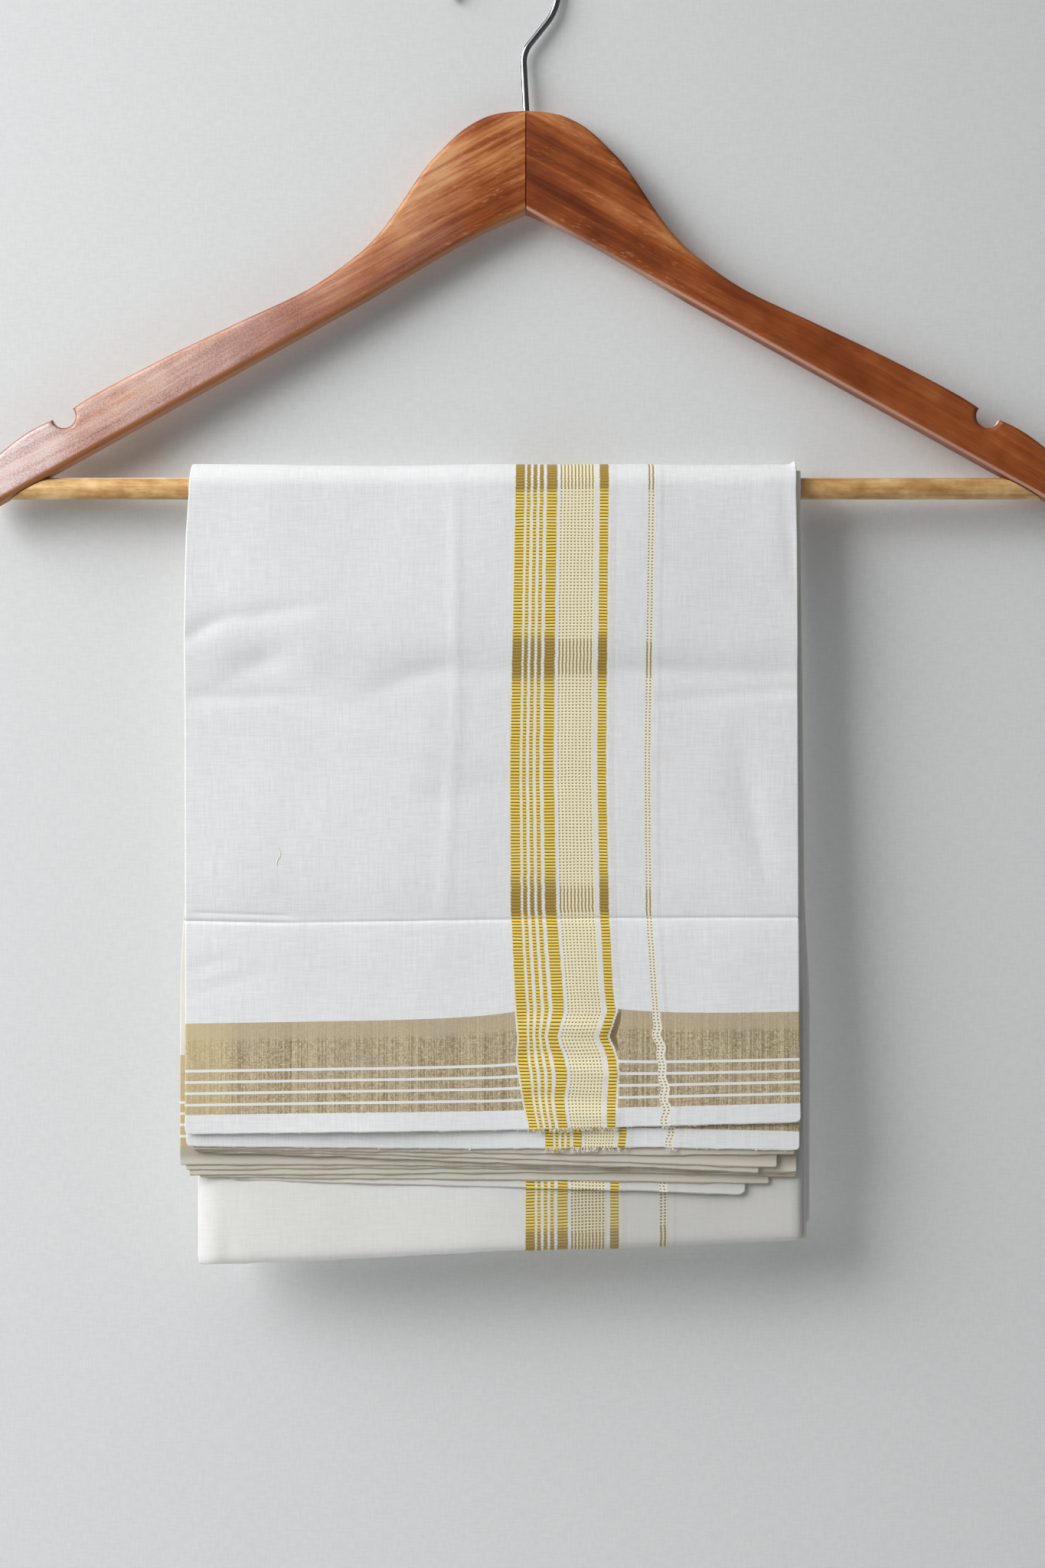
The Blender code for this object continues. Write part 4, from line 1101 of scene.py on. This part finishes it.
class OuterLayer(Panel):
    front_sides = np.array([
        (0.0, -127.6, 117.6), (20.0, -129.0, 118.0), (60.0, -129.9, 118.4), (217.0, -129.6, 119.2),
        (265.0, -129.6, 119.8), (350.0, -129.6, 119.8),
    ])
    back_sides = np.array([
        (0.0, -126.4, 118.8), (60.0, -125.6, 121.4), (165.0, -125.0, 122.4),
        (207.0, -124.6, 124.6), (350.0, -124.6, 124.6),
    ])
    hem = (262.2, 261.3, 260.7, 259.0, 257.4)
    bottom = (309.4, 307.0, 304.6, 302.4, 300.4)
    wall, columns, rows, seed = 0.5, 112, 150, 31

    def front_depth(self, x, drop):
        depth = hidden_at(drop) + 2.6
        climb = hem_line(self.hem, x) - drop
        loose = np.exp(-((x + 58.0) / 40.0) ** 2) * np.clip(1.0 - climb / 16.0, 0.0, 1.0) ** 2
        left, right = read(FRONT_BAND, 1, drop), read(FRONT_BAND, 3, drop)
        on_band = np.clip((x - left) / 3.0, 0.0, 1.0) * np.clip((right - x) / 1.2 + 1.0, 0.0, 1.0)
        puckered = np.clip((climb + 2.0) / 6.0, 0.0, 1.0)
        puckered = puckered * np.clip((56.0 - climb) / 14.0, 0.0, 1.0)
        ripple = 0.45 * np.sin(climb * math.tau / 19.0 + 0.7)
        ripple = ripple + 0.2 * np.sin(climb * math.tau / 8.5 + x * 0.1)
        pocket = np.exp(-((drop - 222.5) / 6.0) ** 2) * np.exp(-((x - right - 1.2) / 1.8) ** 2)
        return depth + 1.3 * loose + ripple * on_band * puckered - 0.75 * pocket

    def bend_depth(self):
        return 5.1

    def back_depth(self, x, drop):
        return 5.1 + 0.0 * x

    def bend_lift(self, x, turn):
        return 1.3 * np.exp(-((x - 117.9) / 1.3) ** 2) * np.sin(math.pi * turn) ** 6


outer_layer = OuterLayer()
outer_cloth = cloth_piece("outer_layer_cloth", [outer_layer], dhoti_cotton)
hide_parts("outer_layer")

THREAD_RADIUS = 0.13
THREAD_POINTS = 8


def twisted_surface(strand):
    """Cut ends of white yarn, with gold ones mixed in under the cross band."""
    place = strand.add("TexCoord", output=3)
    under_band = (strand.add("SeparateXYZ", None, {0: place}) / MM).between(9.0, 50.0)
    yarn = place.noise(420.0, 1.0).rise(0.50, 0.56) * under_band
    fuzz = place.noise(6000.0, 2.0)
    tone = yarn.blend((0.88, 0.84, 0.72), (0.72, 0.52, 0.18))
    return {
        "Base Color": (fuzz * 0.3).blend(tone, (0.50, 0.42, 0.30)),
        "Roughness": 0.75 - yarn * 0.25,
        "Normal": fuzz.bump(0.5, 0.00005),
    }


def thread_tube(bm, path):
    """A closed four-sided tube along the path of one thread."""
    ways = np.gradient(path, axis=0)
    ways /= np.linalg.norm(ways, axis=1, keepdims=True)
    sides = np.cross(ways, (0.0, 1.0, 0.0)) + np.array([1e-6, 0.0, 0.0])
    sides /= np.linalg.norm(sides, axis=1, keepdims=True)
    fronts = np.cross(sides, ways)
    rings = []
    for point, side, front in zip(path, sides, fronts):
        ring = (point + side * THREAD_RADIUS, point + front * THREAD_RADIUS,
                point - side * THREAD_RADIUS, point - front * THREAD_RADIUS)
        rings.append([bm.verts.new(corner * MM) for corner in ring])
    for ring, after in zip(rings, rings[1:]):
        for corner in range(4):
            following = (corner + 1) % 4
            bm.faces.new([ring[corner], ring[following], after[following], after[corner]])
    bm.faces.new(rings[0][::-1])
    bm.faces.new(rings[-1])


def frayed_ends(name, panel, spans, seed, extra_paths, finish):
    """Loops and ends of yarn along a hem, thickest where the cross band was cut."""
    outer, inner, weave = panel.grid()
    hem = (outer[0] + inner[0]) / 2.0
    draw = np.random.default_rng(seed)
    bm = bmesh.new()
    share = np.linspace(0.0, 1.0, THREAD_POINTS)
    for low, high, count, longest in spans:
        for _ in range(count):
            x = draw.uniform(low, high)
            root = np.array([x, *(np.interp(x, hem[:, 0], hem[:, axis]) for axis in (1, 2))])
            reach = draw.uniform(0.35, 1.0) * longest
            curl = draw.uniform(0.3, 1.0)
            lean = draw.uniform(-0.7, 0.7) * longest
            path = root + np.stack([
                lean * share + 0.25 * np.sin(share * 5.0 + curl * 6.0) * share,
                -0.30 * np.sin(share * math.pi) * curl - 0.05,
                0.25 - reach * np.sin(share * math.pi * (0.5 + 0.4 * curl)),
            ], -1)
            thread_tube(bm, path)
    for path in extra_paths:
        thread_tube(bm, path)
    return cotton_piece(name, bm, finish)


# A thick place in the yarn at the front's lower left, where it curls out of the weave
outer_skin = outer_layer.grid()[0].reshape(-1, 3)
slub_run = np.linspace(0.0, 1.0, 12)
slub_x = -92.6 + 1.1 * np.sin(slub_run * 5.2) + 1.2 * slub_run
slub_z = BAR_HEIGHT - 146.0 - 7.6 * slub_run
slub_path = []
for x, z in zip(slub_x, slub_z):
    nearby = outer_skin[outer_skin[:, 1] < 0.0]
    nearest = nearby[np.argmin((nearby[:, 0] - x) ** 2 + (nearby[:, 2] - z) ** 2)]
    slub_path.append((x, nearest[1] - 0.06, z))

yarn_ends = make_finish("twisted_yarn", twisted_surface, {"Sheen Weight": 0.1})
outer_ends = frayed_ends(
    "outer_hem_ends",
    outer_layer,
    ((9.5, 45.0, 64, 2.1), (64.0, 66.5, 6, 2.0), (-129.0, 9.0, 20, 0.8), (46.0, 119.0, 11, 0.8)),
    47,
    [np.array(slub_path)],
    yarn_ends,
)
second_ends = frayed_ends(
    "second_hem_ends",
    second_layer,
    ((16.4, 49.0, 54, 2.3), (66.0, 68.6, 6, 2.2), (-128.0, 15.0, 18, 0.8), (50.0, 119.0, 10, 0.8)),
    53,
    [],
    yarn_ends,
)

# Stage: a pale painted wall close behind the hanger and a pale floor below it. The wall leans away
# from the packet's foot, and it shows from the front only, so that the hanger can be seen from
# behind.

WALL_BEHIND = 0.0125
WALL_LEAN = 0.05
WALL_SIZE = 3.2
FLOOR_HEIGHT = -0.95
FLOOR_SIZE = 12.0


def plaster_surface(strand):
    place = strand.add("TexCoord", output=3)
    cloud = place.noise(3.0, 3.0)
    upright = place.stretched(1150.0, 1.0, 210.0).noise(1.0, 1.0)
    level = place.stretched(210.0, 1.0, 1150.0).noise(1.0, 1.0)
    linen = upright * 0.5 + level * 0.5
    tone = cloud * 0.35 + linen.rise(0.36, 0.64) * 0.65
    tone = tone.blend((0.745, 0.757, 0.755), (0.805, 0.815, 0.812))
    return {
        "Base Color": tone,
        "Normal": linen.bump(0.25, 0.0002),
    }


def mix_by(finish, factor, first, second):
    """Make a material's whole surface a mix of two shaders, where None stands for its own."""
    tree = finish.node_tree
    own = Strand(tree, tree.nodes["Principled BSDF"].outputs[0])
    mix = factor.add("MixShader", None, {0: factor, 1: first or own, 2: second or own})
    tree.links.new(mix.socket, tree.nodes["Material Output"].inputs["Surface"])


def stage_plane(name, size, place, rotation, finish):
    bpy.ops.mesh.primitive_plane_add(size=size, location=place, rotation=rotation)
    plane = bpy.context.object
    plane.name = name
    bpy.ops.object.transform_apply(location=True, rotation=True, scale=True)
    plane.data.materials.append(finish)
    return plane


plaster = make_finish("pale_plaster", plaster_surface, {"Roughness": 0.95})
strand = Strand(plaster.node_tree)
for_camera = strand.add("LightPath", output=0)
from_behind = strand.add("NewGeometry", output=6)
mix_by(plaster, for_camera * (1.0 - from_behind), strand.add("BsdfTransparent"), None)

floor_paint = make_finish("pale_floor", plaster_surface, {"Roughness": 0.9})
strand = Strand(floor_paint.node_tree)
glow = strand.add("Emission", None, {"Color": (0.90, 0.92, 0.92, 1.0), "Strength": 0.62})
mix_by(floor_paint, strand.add("LightPath", output=0) * 0.6, None, glow)

backdrop = stage_plane(
    "backdrop",
    WALL_SIZE,
    (0.0, WALL_BEHIND, BAR_HEIGHT * MM),
    (math.radians(90.0) + WALL_LEAN, 0.0, 0.0),
    plaster,
)
floor_place = (0.0, 0.0, FLOOR_HEIGHT)
floor = stage_plane("floor", FLOOR_SIZE, floor_place, (0.0, 0.0, 0.0), floor_paint)

# Light and camera: soft daylight from a large window at the far left, weaker light from the
# ceiling and from the room behind the wall, and a pale fill from all round.

CAMERA_PLACE = (0.00703, -1.100, -0.34375)
CAMERA_LENS = 61.9
scene = bpy.context.scene


def soft_light(name, place, target, size, power, colour, spread):
    bpy.ops.object.light_add(type="AREA", location=place)
    light = bpy.context.object
    light.name = name
    light.data.shape = "RECTANGLE"
    light.data.size, light.data.size_y = size
    light.data.energy = power
    light.data.color = colour
    light.data.spread = math.radians(spread)
    light.visible_camera = False
    away = np.array(place) - np.array(target)
    flat = math.hypot(away[0], away[1])
    light.rotation_euler = (math.atan2(flat, away[2]), 0.0, math.atan2(away[0], -away[1]))


for name, place, foot, size, power, colour, spread in (
    ("window", (-1.26, -0.74, 0.34), -0.55, (1.15, 1.15), 10.6, (0.985, 0.99, 1.0), 95.0),
    ("ceiling", (-0.35, -0.75, 1.0), -0.5, (1.6, 1.1), 2.9, (1.0, 0.995, 0.98), 110.0),
    ("back_room", (-0.6, 2.4, 0.9), -0.35, (2.0, 1.6), 30.0, (1.0, 1.0, 1.0), 180.0),
):
    soft_light(name, place, (0.0, 0.0, foot), size, power, colour, spread)
world = bpy.data.worlds.new("pale_room")
scene.world = world
world.use_nodes = True
room = Strand(world.node_tree)
room_light = room.add("Background", None, {"Color": (0.90, 0.93, 0.95, 1.0), "Strength": 0.108})
room_seen = room.add("Background", None, {"Color": (0.90, 0.92, 0.92, 1.0), "Strength": 0.45})
by_camera = {0: room.add("LightPath", output=0), 1: room_light, 2: room_seen}
surround = room.add("MixShader", None, by_camera)
world.node_tree.links.new(surround.socket, world.node_tree.nodes["World Output"].inputs["Surface"])

bpy.ops.object.camera_add(location=CAMERA_PLACE, rotation=(math.radians(90.0), 0.0, 0.0))
scene.camera = bpy.context.object
scene.camera.data.sensor_width = 36.0
scene.camera.data.lens = CAMERA_LENS
scene.view_settings.view_transform = "Standard"

bpy.context.view_layer.update()
